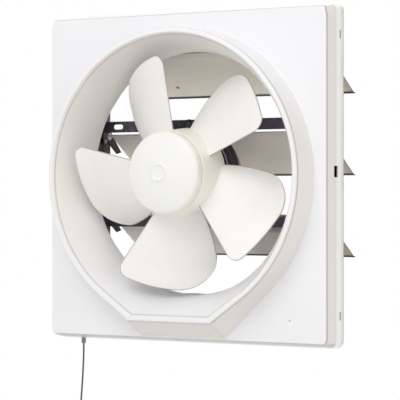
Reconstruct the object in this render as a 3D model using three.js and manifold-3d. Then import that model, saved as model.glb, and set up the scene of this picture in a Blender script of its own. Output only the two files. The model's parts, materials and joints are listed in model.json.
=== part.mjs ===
// Window exhaust fan with linked shutters, pulled on and off by a cord.
// Millimetres, +Z up. The fan axis runs along Y: the room is on the -Y side, outdoors on the +Y side,
// X points right as seen from the room. The origin is on the wall plane (the rear face of the flange),
// at the centre of the wall opening.
import * as THREE from 'three';
import { mergeVertices } from 'three/addons/utils/BufferGeometryUtils.js';
import Module from 'manifold-3d';

const wasm = await Module();
wasm.setup();

// ---------------------------------------------------------------- driving dimensions
const GAP = 0.3;                  // seat clearance between pieces that touch
const WELD = 0.02;                // corners nearer than this are one corner
const AXIS_Z = 3.5;               // fan axis above the centre of the panel

const RIM_SIZE = 355;             // outside of the flange, square
const RIM_DEPTH = 12.6;           // how far the flange's rim stands off the wall
const RIM_BEVEL_DEPTH = 6.1;      // length of the slanted front of the rim
const RIM_BEVEL_IN = 1.6;         // how far that slant draws in
const RIM_CORNER = 8;
const RIM_SLOT_IN = 33.5;         // slots in the rim's sides, in from its corners
const RIM_SLOT_TALL = 8.8;
const RIM_SLOT_WIDE = 2.5;
const SHEET = 1.5;                // body sheet thickness
const FLANGE_WIDTH = 31.5;        // flange from the sleeve to the outside of the rim
const SLEEVE_DEPTH = 45;          // sleeve behind the wall plane
const SILL_HEIGHT = 17.5;         // sheet that closes the bottom of the outlet

const PANEL_REVEAL = 1.4;         // the rim shows this far outside the panel
const PANEL_DEPTH = 15;           // skirt of the panel, front to back
const PANEL_FLARE = 3.6;          // the skirt spreads by this on each side
const PANEL_WALL = 2;
const PANEL_CORNER = 5;
const PANEL_EDGE = 0.8;           // eased front edge
const PANEL_JOINT = 0.4;          // shadow joint between panel and flange rim
const PANEL_SLOT_DEEP = 3.4;      // release slot at the rear edge of each side
const RIM_NOTCH_DEEP = 2.4;       // and the notch in the rim behind it
const PANEL_SLOT_TALL = 11.7;
const PANEL_SLOT_LOW = -2;
const CLIP_IN = 62.5;             // clips from the sides of the rim
const CLIP_WIDTH = 16;
const CLIP_SHEET = 1.2;
const CLIP_FOOT = 12;
const CLIP_REACH = 8;             // how far a clip reaches into the panel

const LIP_PROUD = 30.5;           // bell-mouth lip in front of the panel's face
const LIP_DROP = 3;               // centre of the lip below the fan axis
const LIP_BAND = 7;               // width of the rolled lip
const LIP_ROUND = 2.5;
const LIP_TRAY_HALF = 51;         // half length of the flat under the lip
const LIP_TRAY_RISE = 1;          // that flat lies this far inside the lip's radius
const COLLAR_MARGIN = 14;         // face left at each side of the collar's foot
const COLLAR_DRAFT = 3.2;         // the collar narrows by this from its foot to the lip
const BASE_DROP = 5;
const BASE_TRAY_HALF = 53;
const BASE_TRAY_SINK = 10;        // the foot's flat lies this far outside the foot's radius
const BELL_WIDTH = 25.8;          // lip to throat, seen from the front
const BELL_EASE = 1.7;            // 1 is a plain cone; more bends it towards the shaft's direction
const THROAT_LENGTH = 54.5;       // lip to the rear edge of the throat

const BLADE_COUNT = 5;
const BLADE_CLEARANCE = 4.5;      // blade tips to the throat
const BLADE_START = 21.5;         // angle of the first blade's leading edge, from +X towards +Z
const BLADE_SPAN = 51.5;          // angle from leading to trailing edge at BLADE_SPAN_RADIUS
const BLADE_SPAN_RADIUS = 90;
const BLADE_SPREAD = 0.22;        // the trailing edge gains this many degrees for each mm nearer the hub
const TRAIL_DEEP = 21;            // the trailing edge runs this far outdoors on its way out
const TRAIL_DEEP_LONG = 56;       // over this length outside the hub
const BLADE_ROOT_THICK = 3.0;
const BLADE_TIP_THICK = 1.8;
const BLADE_CAMBER = 4.5;
const LEAD_OUT_RADIUS = 16;       // rounding drop of the leading tip corner
const TRAIL_OUT_RADIUS = 35;      // rounding drop of the trailing tip corner
const HUB_FRONT_RADIUS = 44.2;
const HUB_REAR_RADIUS = 48;
const HUB_LENGTH = 37;
const HUB_WALL = 2.2;
const HUB_BOSS = 10;
const BOSS_AHEAD = 2;             // the boss stands in front of the hub's front wall
const SPINNER_RADIUS = 43.3;
const SPINNER_DEPTH = 10;         // side wall of the spinner
const SPINNER_DOME = 8.4;
const SPINNER_BUTTON = 7.5;       // raised disc at its centre
const SPINNER_BUTTON_PROUD = 1.4;
const SHAFT_RADIUS = 4;
const DRIVE_PIN_RADIUS = 1.5;
const DRIVE_PIN_LENGTH = 19;

const STAY_FRONT = 12;            // front face of the two motor stays behind the wall plane
const STAY_DEPTH = 5;
const STAY_HEIGHT = 12;
const STAY_OUT = 5.7;             // middle of a stay outside the motor's radius
const STAY_TAB = 9;
const STAY_SCREW_IN = 5.5;        // screw behind the front face of the stay
const STAY_SLOT_IN = 33.5;        // slot from the sleeve's wall
const STAY_SLOT_LONG = 13;
const STAY_SLOT_TALL = 5.5;
const STAY_SCREW_RADIUS = 2;
const STAY_SCREW_HEAD = 3.6;
const STAY_SCREW_HEAD_THICK = 1.3;

const MOTOR_FRONT = -8;
const MOTOR_REAR = 28.5;
const MOTOR_UNDER_SHUTTER = 0.7;  // rear cover to the middle shutter above it
const MOTOR_STEP = 5.3;           // the front cover is this much wider than the rear one
const MOTOR_WALL = 2;
const MOTOR_FLANGE_WIDE = 1.2;
const MOTOR_FLANGE_THICK = 1.8;
const MOTOR_LUG_X = 17;
const MOTOR_LUG_WIDTH = 13;
const MOTOR_BOSS = 14;
const MOTOR_BOSS_PROUD = 4;
const MOTOR_REAR_BOSS = 3;
const MOTOR_SCREW_RADIUS = 2;
const MOTOR_SCREW_HEAD = 3.9;
const MOTOR_SCREW_HEAD_THICK = 2.4;
const BEARING_RADIUS = 11;
const BEARING_LENGTH = 6;
const BEARING_SEAT_DEPTH = 6.8;
const CORE_LENGTH = 17;
const CORE_RING = 16.7;           // the core's inner face inside the rear cover's radius
const STATOR_SLOTS = 12;
const WINDING_THICK = 3.6;

const SHUTTER_COUNT = 3;
const SHUTTER_TOP_GAP = 10.5;     // top hinge axis under the sleeve's wall
const SHUTTER_FOOT_GAP = 13.9;    // where a fourth hinge would come, above the sleeve's bottom wall
const SHUTTER_SIDE_GAP = 5;       // ends of the shutters to the sleeve's walls
const SHUTTER_SHORT = 11.8;       // the leaf is this much shorter than the pitch
const SILL_IN = 5.6;              // the sill stands this far inside the hinge line
const HINGE_IN = 11.4;            // shutter hinge line to the rear edge of the sleeve
const SHUTTER_OPEN = 55;          // degrees from hanging, as it stands open at rest
const SHUTTER_FLANGE = 8;
const SHUTTER_LIP = 3.5;
const SHUTTER_SHEET = 1.2;
const SHUTTER_EAR = 6.5;          // radius of the end tab round the hinge
const SHUTTER_EAR_LONG = 30;
const SHUTTER_PIN_RADIUS = 2;
const SHUTTER_PIN_HEAD = 4;
const PIN_HEAD_THICK = 1.4;
const LINK_ARM = 12;
const LINK_WIDTH = 6;
const LINK_THICK = 1.5;
const LINK_END = 3.6;
const LINK_RIVET_RADIUS = 1.6;
const LINK_RIVET_HEAD = 2.8;
const RIVET_HEAD_THICK = 1;

const BOX_GAP = 2;                // switch, terminal block and capacitor stand this far outside the sleeve
const SWITCH_WIDTH = 22;
const SWITCH_TALL = 37;
const SWITCH_FRONT = -22;
const SWITCH_UNDER = 9;           // switch below the lever's pin
const TERMINAL_WIDTH = 22;
const TERMINAL_TALL = 38;
const TERMINAL_FRONT = -20;
const TERMINAL_UP = 27.5;         // terminal block above the bottom of the rim
const CAPACITOR_WIDTH = 23;
const CAPACITOR_TALL = 42;
const CAPACITOR_FRONT = -21;
const CAPACITOR_DOWN = 39.5;      // capacitor below the top of the rim
const LEAD_RADIUS = 2.2;          // lead from the motor to the terminal block

const CORD_IN = 33;               // pull cord from the side of the rim, in the hollow behind the panel
const CORD_Y = -6.5;
const CORD_DIAMETER = 2;
const BEAD_RADIUS = 2.4;          // stop bead above the lever
const BEAD_LONG = 5;
const GUIDE_RADIUS = 2.4;
const GUIDE_COLLAR = 3.6;
const GUIDE_COLLAR_LONG = 3;
const GUIDE_BELOW = 6;            // guide tube below the rim
const LEVER_ARM = 15.5;
const LEVER_TILT = 17;            // the arm stands this far above level at rest
const LEVER_UP = 91.5;            // lever above the bottom of the rim
const LEVER_THICK = 3;
const LEVER_TALL = 5;
const EYE_RADIUS = 2.1;           // eye of the lever, wide enough for the cord at both ends of its swing
const EYE_WALL = 1.3;
const LEVER_PIN_RADIUS = 2;
const LEVER_PIN_HEAD = 4;
const LEVER_PIN_HEAD_THICK = 1.6;
const KNOB_RADIUS = 6.8;
const KNOB_LONG = 21.5;

const colours = {
  panel: 0xf1f1ef, body: 0xdfdbd6, blade: 0xe9e8e3, spinner: 0xf3f2ee, stay: 0x3b3746,
  motor: 0x23202b, steel: 0xb9b6b0, core: 0x6f7076, copper: 0xb0683a, shutter: 0xa59e95,
  nylon: 0xf0efe9, link: 0x2b2830, black: 0x1c1c1f, cream: 0xd9d0b8, cord: 0x6e5f58, grey: 0x8d8b8a,
};

// ---------------------------------------------------------------- derived places
const RIM_HALF = RIM_SIZE / 2;
const SLEEVE_HALF = RIM_HALF - FLANGE_WIDTH;
const SLEEVE_INNER = SLEEVE_HALF - SHEET;
const SILL_TOP = -SLEEVE_INNER + SILL_HEIGHT;
const SHUTTER_HINGE_Y = SLEEVE_DEPTH - HINGE_IN;
const SILL_Y = SHUTTER_HINGE_Y - SILL_IN;
const PANEL_FACE = RIM_SIZE - 2 * (PANEL_REVEAL + PANEL_FLARE);
const CLIP_X = RIM_HALF - CLIP_IN;
const BASE_RADIUS = PANEL_FACE / 2 - COLLAR_MARGIN;
const BASE_TRAY_BELOW = BASE_RADIUS + BASE_TRAY_SINK;
const LIP_RADIUS = BASE_RADIUS - COLLAR_DRAFT;
const LIP_TRAY_BELOW = LIP_RADIUS - LIP_TRAY_RISE;
const THROAT_RADIUS = LIP_RADIUS - BELL_WIDTH;
const BLADE_TIP = THROAT_RADIUS - BLADE_CLEARANCE;
const SHUTTER_TOP_Z = SLEEVE_INNER - SHUTTER_TOP_GAP;
const SHUTTER_PITCH = (SHUTTER_TOP_Z + SLEEVE_INNER - SHUTTER_FOOT_GAP) / SHUTTER_COUNT;
const SHUTTER_FACE = SHUTTER_PITCH - SHUTTER_SHORT;
const SHUTTER_HALF = SLEEVE_INNER - SHUTTER_SIDE_GAP;
const MOTOR_REAR_RADIUS = SHUTTER_TOP_Z - SHUTTER_PITCH - SHUTTER_SHEET / 2 - MOTOR_UNDER_SHUTTER - AXIS_Z;
const MOTOR_RADIUS = MOTOR_REAR_RADIUS + MOTOR_STEP;
const MOTOR_FLANGE = MOTOR_RADIUS + MOTOR_FLANGE_WIDE;
const STAY_OFFSET = MOTOR_RADIUS + STAY_OUT;
const STAY_SLOT_X = SLEEVE_INNER - STAY_SLOT_IN;
const CORE_INNER = MOTOR_REAR_RADIUS - CORE_RING;
const PANEL_REAR_Y = -RIM_DEPTH - PANEL_JOINT;
const PANEL_Y = PANEL_REAR_Y - PANEL_DEPTH;
const LIP_Y = PANEL_Y - LIP_PROUD;
const THROAT_Y = LIP_Y + THROAT_LENGTH;
const BORE_RADIUS = SHAFT_RADIUS + GAP;
const HUB_FRONT_Y = LIP_Y + 1.5;
const HUB_REAR_Y = HUB_FRONT_Y + HUB_LENGTH;
const FLANGE_REAR_Y = STAY_FRONT - GAP;
const FLANGE_FRONT_Y = FLANGE_REAR_Y - MOTOR_FLANGE_THICK;
const CORE_FRONT_Y = FLANGE_REAR_Y - CORE_LENGTH * 0.4;
const BOSS_FRONT_Y = HUB_FRONT_Y - BOSS_AHEAD;
const SPINNER_REAR_Y = HUB_FRONT_Y - GAP;
const SPINNER_EDGE_Y = SPINNER_REAR_Y - SPINNER_DEPTH;
const SPINNER_TOP_Y = SPINNER_EDGE_Y - SPINNER_DOME;
const SHAFT_FRONT_Y = BOSS_FRONT_Y - SPINNER_DEPTH;
const RIM_BOTTOM = -RIM_HALF;
const BOX_X = SLEEVE_HALF + BOX_GAP;
const TERMINAL_TOP = RIM_BOTTOM + TERMINAL_UP + TERMINAL_TALL;
const CAPACITOR_TOP = RIM_HALF - CAPACITOR_DOWN;
const CORD_X = -RIM_HALF + CORD_IN;
const LEVER_Z = RIM_BOTTOM + LEVER_UP;

// ---------------------------------------------------------------- geometry helpers
const radians = THREE.MathUtils.degToRad;
const lerp = THREE.MathUtils.lerp;

function closed(geometry, weld = 1e-4) {
  // A surface with shared corners, without empty triangles, with its faces pointing out.
  const bare = geometry.clone();
  bare.deleteAttribute('normal');
  bare.deleteAttribute('uv');
  const merged = mergeVertices(bare, weld);
  const index = merged.index.array;
  const place = (i) => new THREE.Vector3().fromBufferAttribute(merged.attributes.position, i);
  const faces = [];
  let volume = 0;
  for (let t = 0; t < index.length; t += 3) {
    const [a, b, c] = [index[t], index[t + 1], index[t + 2]];
    if (a === b || b === c || c === a) continue;
    faces.push([a, b, c]);
    volume += place(a).dot(place(b).cross(place(c)));
  }
  merged.setIndex(faces.flatMap(([a, b, c]) => (volume < 0 ? [a, c, b] : [a, b, c])));
  return merged;
}

function solid(geometry) {
  const surface = closed(geometry);
  return new wasm.Manifold(new wasm.Mesh({
    numProp: 3,
    vertProperties: new Float32Array(surface.attributes.position.array),
    triVerts: new Uint32Array(surface.index.array),
  }));
}

function join(...geometries) {
  return geometries.map(solid).reduce((whole, next) => whole.add(next));
}

function cut(body, ...tools) {
  return tools.reduce((whole, tool) => whole.subtract(tool), body);
}

function surfaceOf(body) {
  const mesh = body.getMesh();
  const geometry = new THREE.BufferGeometry();
  geometry.setAttribute('position', new THREE.Float32BufferAttribute(mesh.vertProperties, 3));
  geometry.setIndex(Array.from(mesh.triVerts));
  return geometry;
}

function piece(parent, name, shape, colour, finish = {}) {
  const geometry = closed(shape.isBufferGeometry ? shape : surfaceOf(shape), WELD);
  geometry.computeVertexNormals();
  const material = new THREE.MeshStandardMaterial({ color: colour, roughness: 0.45, metalness: 0, ...finish });
  const mesh = new THREE.Mesh(geometry, material);
  mesh.name = name;
  parent.add(mesh);
}

function box(x0, x1, y0, y1, z0, z1) {
  const geometry = new THREE.BoxGeometry(x1 - x0, y1 - y0, z1 - z0);
  return geometry.translate((x0 + x1) / 2, (y0 + y1) / 2, (z0 + z1) / 2);
}

function rod(radius, from, to, sides = 12) {
  const start = new THREE.Vector3(...from);
  const reach = new THREE.Vector3(...to).sub(start);
  const geometry = new THREE.CylinderGeometry(radius, radius, reach.length(), sides);
  geometry.translate(0, reach.length() / 2, 0);
  const turn = new THREE.Quaternion().setFromUnitVectors(new THREE.Vector3(0, 1, 0), reach.normalize());
  return geometry.applyQuaternion(turn).translate(...from);
}

function turned(profile, sides = 28) {
  // Profile points are [radius, y]; it starts and ends on the axis or closes on itself.
  return new THREE.LatheGeometry(profile.map(([r, y]) => new THREE.Vector2(r, y)), sides);
}

function extrudeAlongX(outline, x0, x1) {
  // Outline points are [y, z].
  const shape = new THREE.Shape(outline.map(([y, z]) => new THREE.Vector2(y, z)));
  const geometry = new THREE.ExtrudeGeometry(shape, { depth: x1 - x0, bevelEnabled: false });
  const turn = new THREE.Matrix4().makeBasis(
    new THREE.Vector3(0, 1, 0), new THREE.Vector3(0, 0, 1), new THREE.Vector3(1, 0, 0));
  return geometry.applyMatrix4(turn).translate(x0, 0, 0);
}

function extrudeAlongY(outline, y0, y1) {
  // Outline points are [x, z].
  const shape = new THREE.Shape(outline.map(([x, z]) => new THREE.Vector2(x, z)));
  const geometry = new THREE.ExtrudeGeometry(shape, { depth: y1 - y0, bevelEnabled: false });
  return geometry.rotateX(Math.PI / 2).translate(0, y1, 0);
}

function strip(points, thickness) {
  // The outline of a bent sheet, seen on edge, with mitred bends.
  const line = points.map(([a, b]) => new THREE.Vector2(a, b));
  const sides = line.slice(1).map((p, i) => p.clone().sub(line[i]).normalize());
  const offset = (i, side) => {
    const before = sides[Math.max(0, i - 1)];
    const after = sides[Math.min(sides.length - 1, i)];
    const mean = before.clone().add(after).normalize();
    const normal = new THREE.Vector2(-mean.y, mean.x);
    const stretch = 1 / Math.max(0.3, normal.dot(new THREE.Vector2(-before.y, before.x)));
    return line[i].clone().addScaledVector(normal, side * stretch * thickness / 2);
  };
  const left = line.map((_, i) => offset(i, 1));
  const right = line.map((_, i) => offset(i, -1)).reverse();
  return [...left, ...right].map((p) => [p.x, p.y]);
}

function arc(cx, cy, radius, from, to, steps) {
  return Array.from({ length: steps + 1 }, (_, i) => {
    const a = radians(lerp(from, to, i / steps));
    return [cx + radius * Math.cos(a), cy + radius * Math.sin(a)];
  });
}

function loft(rings, loop) {
  // Skins equal rings of points; a loop closes on itself, otherwise both ends get flat caps.
  const n = rings[0].length;
  const points = rings.flat();
  const faces = [];
  const spans = loop ? rings.length : rings.length - 1;
  for (let k = 0; k < spans; k += 1) {
    const next = (k + 1) % rings.length;
    for (let i = 0; i < n; i += 1) {
      const j = (i + 1) % n;
      const [a, b, c, d] = [k * n + i, k * n + j, next * n + j, next * n + i];
      faces.push(a, b, c, a, c, d);
    }
  }
  if (!loop) {
    for (const [k, flip] of [[0, false], [rings.length - 1, true]]) {
      const centre = rings[k].reduce((sum, p) => sum.add(p), new THREE.Vector3()).divideScalar(n);
      points.push(centre);
      for (let i = 0; i < n; i += 1) {
        const edge = [k * n + i, k * n + ((i + 1) % n)];
        faces.push(points.length - 1, ...(flip ? edge : edge.reverse()));
      }
    }
  }
  const geometry = new THREE.BufferGeometry();
  geometry.setAttribute('position',
    new THREE.Float32BufferAttribute(points.flatMap((p) => [p.x, p.y, p.z]), 3));
  geometry.setIndex(faces);
  return geometry;
}

function squareRing(size, corner, y, steps = 4) {
  const reach = size / 2 - corner;
  const turns = [[1, 1, 0], [-1, 1, 90], [-1, -1, 180], [1, -1, 270]];
  return turns.flatMap(([sx, sz, start]) => arc(sx * reach, sz * reach, corner, start, start + 90, steps))
    .map(([x, z]) => new THREE.Vector3(x, y, z));
}

function trayRing(radius, half, below, drop, y) {
  // A circle whose bottom is drawn out, along two tangents, to a flat of half length `half`.
  const corner = Math.atan2(half, below);
  const tangent = corner + Math.acos(Math.min(1, radius / Math.hypot(half, below)));
  const reach = (a) => {
    if (a >= tangent) return radius;
    return a >= corner ? radius / Math.cos(tangent - a) : below / Math.cos(a);
  };
  const spans = [[0, corner, 3], [corner, tangent, 3], [tangent, Math.PI, 21]];
  const angles = spans.flatMap(([from, to, steps]) =>
    Array.from({ length: steps }, (_, i) => lerp(from, to, i / steps)));
  const whole = [...angles, Math.PI, ...angles.slice(1).reverse().map((a) => -a)];
  return whole.map((a) => new THREE.Vector3(
    reach(Math.abs(a)) * Math.sin(a), y, AXIS_Z - drop - reach(Math.abs(a)) * Math.cos(a)));
}

function blendRings(first, second, share, y) {
  return first.map((p, i) => p.clone().lerp(second[i], share).setY(y));
}

function roundRing(pattern, radius, y) {
  // A circle round the fan axis whose points face those of another ring.
  return pattern.map((p) => {
    const a = Math.atan2(p.z - AXIS_Z, p.x);
    return new THREE.Vector3(radius * Math.cos(a), y, AXIS_Z + radius * Math.sin(a));
  });
}

function sheetSolid(point, thickness, across, along) {
  // A closed sheet round the surface point(u, v), thickened along its normal on both sides.
  const step = 1e-3;
  const normal = (u, v) => {
    const du = point(u + step, v).sub(point(u - step, v));
    const dv = point(u, v + step).sub(point(u, v - step));
    return du.cross(dv).normalize();
  };
  const side = (u, v, sign) => point(u, v).addScaledVector(normal(u, v), sign * thickness(u, v) / 2);
  const rings = [];
  for (let k = 0; k <= along; k += 1) {
    const v = k / along;
    const front = Array.from({ length: across + 1 }, (_, i) => side(i / across, v, 1));
    const back = Array.from({ length: across + 1 }, (_, i) => side(1 - i / across, v, -1));
    rings.push([...front, ...back]);
  }
  return loft(rings, false);
}

function sweptTube(points, radius, sides) {
  // A round tube along a line of points that turns mostly in planes square to Y.
  const flank = new THREE.Vector3(0, 1, 0);
  const rings = points.map((p, i) => {
    const along = points[Math.min(i + 1, points.length - 1)].clone().sub(points[Math.max(i - 1, 0)]);
    const across = along.clone().cross(flank).normalize();
    const up = across.clone().cross(along).normalize();
    return Array.from({ length: sides }, (_, k) => {
      const a = 2 * Math.PI * k / sides;
      return p.clone().addScaledVector(across, radius * Math.cos(a)).addScaledVector(up, radius * Math.sin(a));
    });
  });
  return loft(rings, false);
}

// ---------------------------------------------------------------- panel with the bell mouth
const faceHalfAt = (y) => PANEL_FACE / 2 + PANEL_FLARE * (y - PANEL_Y) / PANEL_DEPTH;

function lipRing(inset, y) {
  return trayRing(LIP_RADIUS - inset, LIP_TRAY_HALF - inset / 2, LIP_TRAY_BELOW - inset, LIP_DROP, y);
}

function baseRing(inset, y) {
  return trayRing(BASE_RADIUS - inset, BASE_TRAY_HALF - inset / 2, BASE_TRAY_BELOW - inset, BASE_DROP, y);
}

function collar() {
  const foot = PANEL_Y + PANEL_WALL / 2;
  const bellStart = LIP_Y + LIP_ROUND;
  const steps = 6;
  const bell = (offset, share) => {
    const lip = lipRing(LIP_BAND - offset, 0);
    const throat = roundRing(lip, THROAT_RADIUS + offset, 0);
    return blendRings(lip, throat, 1 - (1 - share) ** BELL_EASE, lerp(bellStart, THROAT_Y, share));
  };
  const shares = Array.from({ length: steps + 1 }, (_, i) => i / steps);
  const backShares = shares.filter((_, i) => i > 0 && (i === steps || i % 2 === 1));
  return loft([
    baseRing(0, foot),
    lipRing(0, LIP_Y + LIP_ROUND),
    lipRing(LIP_ROUND * 0.3, LIP_Y + LIP_ROUND * 0.3),
    lipRing(LIP_ROUND, LIP_Y),
    lipRing(LIP_BAND - LIP_ROUND, LIP_Y),
    lipRing(LIP_BAND - LIP_ROUND * 0.3, LIP_Y + LIP_ROUND * 0.3),
    ...shares.map((share) => bell(0, share)),
    ...backShares.reverse().map((share) => bell(PANEL_WALL, share)),
    lipRing(PANEL_WALL, LIP_Y + LIP_ROUND + PANEL_WALL),
    baseRing(PANEL_WALL, foot),
  ], true);
}

function orificePanel() {
  const rear = PANEL_FACE + 2 * PANEL_FLARE;
  const shell = solid(loft([
    squareRing(PANEL_FACE - 2 * PANEL_EDGE, PANEL_CORNER, PANEL_Y),
    squareRing(PANEL_FACE, PANEL_CORNER, PANEL_Y + PANEL_EDGE),
    squareRing(rear, PANEL_CORNER + PANEL_FLARE / 2, PANEL_REAR_Y),
  ], false));
  const past = 1;
  const hollow = solid(loft([
    squareRing(PANEL_FACE - 2 * PANEL_WALL, PANEL_CORNER, PANEL_Y + PANEL_WALL),
    squareRing(rear - 2 * PANEL_WALL, PANEL_CORNER, PANEL_REAR_Y + past),
  ], false));
  const hole = solid(loft([
    baseRing(PANEL_WALL / 2, PANEL_Y - past), baseRing(PANEL_WALL / 2, PANEL_Y + PANEL_WALL + past),
  ], false));
  const reach = 2 * PANEL_WALL;
  const slots = [-1, 1].map((side) => solid(box(
    side * faceHalfAt(PANEL_REAR_Y) - reach, side * faceHalfAt(PANEL_REAR_Y) + reach,
    PANEL_REAR_Y - PANEL_SLOT_DEEP, PANEL_REAR_Y + past, PANEL_SLOT_LOW, PANEL_SLOT_LOW + PANEL_SLOT_TALL)));
  return cut(cut(shell, hollow, hole).add(solid(collar())), ...slots);
}

// ---------------------------------------------------------------- body with flange and sleeve
const hingeZ = (i) => SHUTTER_TOP_Z - i * SHUTTER_PITCH;
const stayZ = (side) => AXIS_Z + side * STAY_OFFSET;
const stayScrewY = STAY_FRONT + STAY_SCREW_IN;

const rimFront = -RIM_DEPTH;
const rimShoulder = rimFront + RIM_BEVEL_DEPTH;
const rimHalfAt = (y) => RIM_HALF - RIM_BEVEL_IN * Math.max(0, (rimShoulder - y) / RIM_BEVEL_DEPTH);

function bodyFrame() {
  const past = 1;
  const small = RIM_SIZE - 2 * RIM_BEVEL_IN;
  const tray = solid(loft([
    squareRing(small, RIM_CORNER, rimFront), squareRing(RIM_SIZE, RIM_CORNER, rimShoulder),
    squareRing(RIM_SIZE, RIM_CORNER, 0),
  ], false));
  const pocket = solid(loft([
    squareRing(2 * rimHalfAt(rimFront - past) - 2 * SHEET, RIM_CORNER - SHEET, rimFront - past),
    squareRing(RIM_SIZE - 2 * SHEET, RIM_CORNER - SHEET, rimShoulder),
    squareRing(RIM_SIZE - 2 * SHEET, RIM_CORNER - SHEET, -SHEET),
  ], false));
  const sleeve = solid(box(-SLEEVE_HALF, SLEEVE_HALF, -SHEET, SLEEVE_DEPTH, -SLEEVE_HALF, SLEEVE_HALF));
  const bore = solid(box(-SLEEVE_INNER, SLEEVE_INNER, -SHEET - past, SLEEVE_DEPTH + past,
    -SLEEVE_INNER, SLEEVE_INNER));
  const sill = solid(box(-SLEEVE_INNER - past / 2, SLEEVE_INNER + past / 2, SILL_Y, SILL_Y + SHEET,
    -SLEEVE_INNER - past / 2, SILL_TOP));
  const holes = [];
  for (const side of [-1, 1]) {
    const across = (radius, y, z) => solid(rod(radius, [side * (SLEEVE_INNER - 3), y, z],
      [side * (SLEEVE_HALF + 3), y, z], 12));
    for (let i = 0; i < SHUTTER_COUNT; i += 1) {
      holes.push(across(SHUTTER_PIN_RADIUS + GAP, SHUTTER_HINGE_Y, hingeZ(i)));
    }
    for (const row of [-1, 1]) holes.push(across(STAY_SCREW_RADIUS + GAP, stayScrewY, stayZ(row)));
    for (const end of [-1, 1]) {
      const [x, z] = [side * RIM_HALF, end * (RIM_HALF - RIM_SLOT_IN)];
      const [reach, half] = [2 * SHEET + past, RIM_SLOT_TALL / 2];
      holes.push(solid(box(x - reach, x + reach, rimShoulder + past - RIM_SLOT_WIDE, rimShoulder + past,
        z - half, z + half)));
    }
    const [low, high] = [side * RIM_HALF - 2 * SHEET - past, side * RIM_HALF + past];
    holes.push(solid(box(Math.min(low, high), Math.max(low, high), rimFront - past, rimFront + RIM_NOTCH_DEEP,
      PANEL_SLOT_LOW, PANEL_SLOT_LOW + PANEL_SLOT_TALL)));
  }
  holes.push(solid(rod(GUIDE_RADIUS + GAP, [CORD_X, CORD_Y, RIM_BOTTOM - 3],
    [CORD_X, CORD_Y, RIM_BOTTOM + 6], 12)));
  return cut(cut(tray.add(sleeve), pocket, bore).add(sill), ...holes);
}

function panelClip(x, side) {
  const foot = -SHEET - GAP - CLIP_SHEET / 2;
  const reachY = PANEL_REAR_Y - CLIP_REACH;
  const out = faceHalfAt(reachY) - PANEL_WALL - GAP - CLIP_SHEET;
  const outline = strip([[foot, out - CLIP_FOOT], [foot, out], [reachY, out]], CLIP_SHEET);
  return extrudeAlongX(outline.map(([y, z]) => [y, side * z]), x - CLIP_WIDTH / 2, x + CLIP_WIDTH / 2);
}

// ---------------------------------------------------------------- motor stays
function stay(side, slotted) {
  const z = stayZ(side);
  const end = SLEEVE_INNER - GAP;
  const half = STAY_HEIGHT / 2;
  const rear = STAY_FRONT + STAY_DEPTH;
  const channel = join(
    box(-end, end, STAY_FRONT, STAY_FRONT + SHEET, z - half, z + half),
    box(-end, end, STAY_FRONT, rear, z - half, z - half + SHEET),
    box(-end, end, STAY_FRONT, rear, z + half - SHEET, z + half),
    box(-end, -end + SHEET, STAY_FRONT, STAY_FRONT + STAY_TAB, z - half, z + half),
    box(end - SHEET, end, STAY_FRONT, STAY_FRONT + STAY_TAB, z - half, z + half));
  const through = (x, radius) => solid(rod(radius, [x, STAY_FRONT - 3, z], [x, rear + 3, z], 12));
  const tools = [-1, 1].flatMap((s) => [
    solid(rod(STAY_SCREW_RADIUS + GAP, [s * (end - 4), stayScrewY, z], [s * (end + 4), stayScrewY, z], 12)),
    through(s * MOTOR_LUG_X, MOTOR_SCREW_RADIUS + GAP),
  ]);
  if (slotted) {
    const r = STAY_SLOT_TALL / 2;
    const reach = STAY_SLOT_LONG / 2 - r;
    for (const s of [-1, 1]) {
      const outline = [...arc(s * STAY_SLOT_X + reach, z, r, -90, 90, 8),
        ...arc(s * STAY_SLOT_X - reach, z, r, 90, 270, 8)];
      tools.push(solid(extrudeAlongY(outline, STAY_FRONT - 2, STAY_FRONT + SHEET + 2)));
    }
  }
  return cut(channel, ...tools);
}

function screw(radius, from, to, headRadius, headThick) {
  // Shank from `from` to `to`, with a low domed head standing out behind `from`.
  const direction = new THREE.Vector3(...to).sub(new THREE.Vector3(...from)).normalize();
  const length = new THREE.Vector3(...to).distanceTo(new THREE.Vector3(...from));
  const geometry = turned([[0, -headThick], [headRadius * 0.6, -headThick], [headRadius, -headThick * 0.35],
    [headRadius, 0], [radius, 0], [radius, length], [0, length]], 12);
  const turn = new THREE.Quaternion().setFromUnitVectors(new THREE.Vector3(0, 1, 0), direction);
  return solid(geometry.applyQuaternion(turn).translate(...from));
}

function stayScrew(side, row) {
  const inside = SLEEVE_INNER - GAP - SHEET - GAP;
  return screw(STAY_SCREW_RADIUS, [side * inside, stayScrewY, stayZ(row)],
    [side * (SLEEVE_HALF + 1), stayScrewY, stayZ(row)], STAY_SCREW_HEAD, STAY_SCREW_HEAD_THICK);
}

function motorScrew(side, row) {
  return screw(MOTOR_SCREW_RADIUS, [side * MOTOR_LUG_X, FLANGE_FRONT_Y - GAP, stayZ(row)],
    [side * MOTOR_LUG_X, STAY_FRONT + STAY_DEPTH, stayZ(row)], MOTOR_SCREW_HEAD, MOTOR_SCREW_HEAD_THICK);
}

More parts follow.
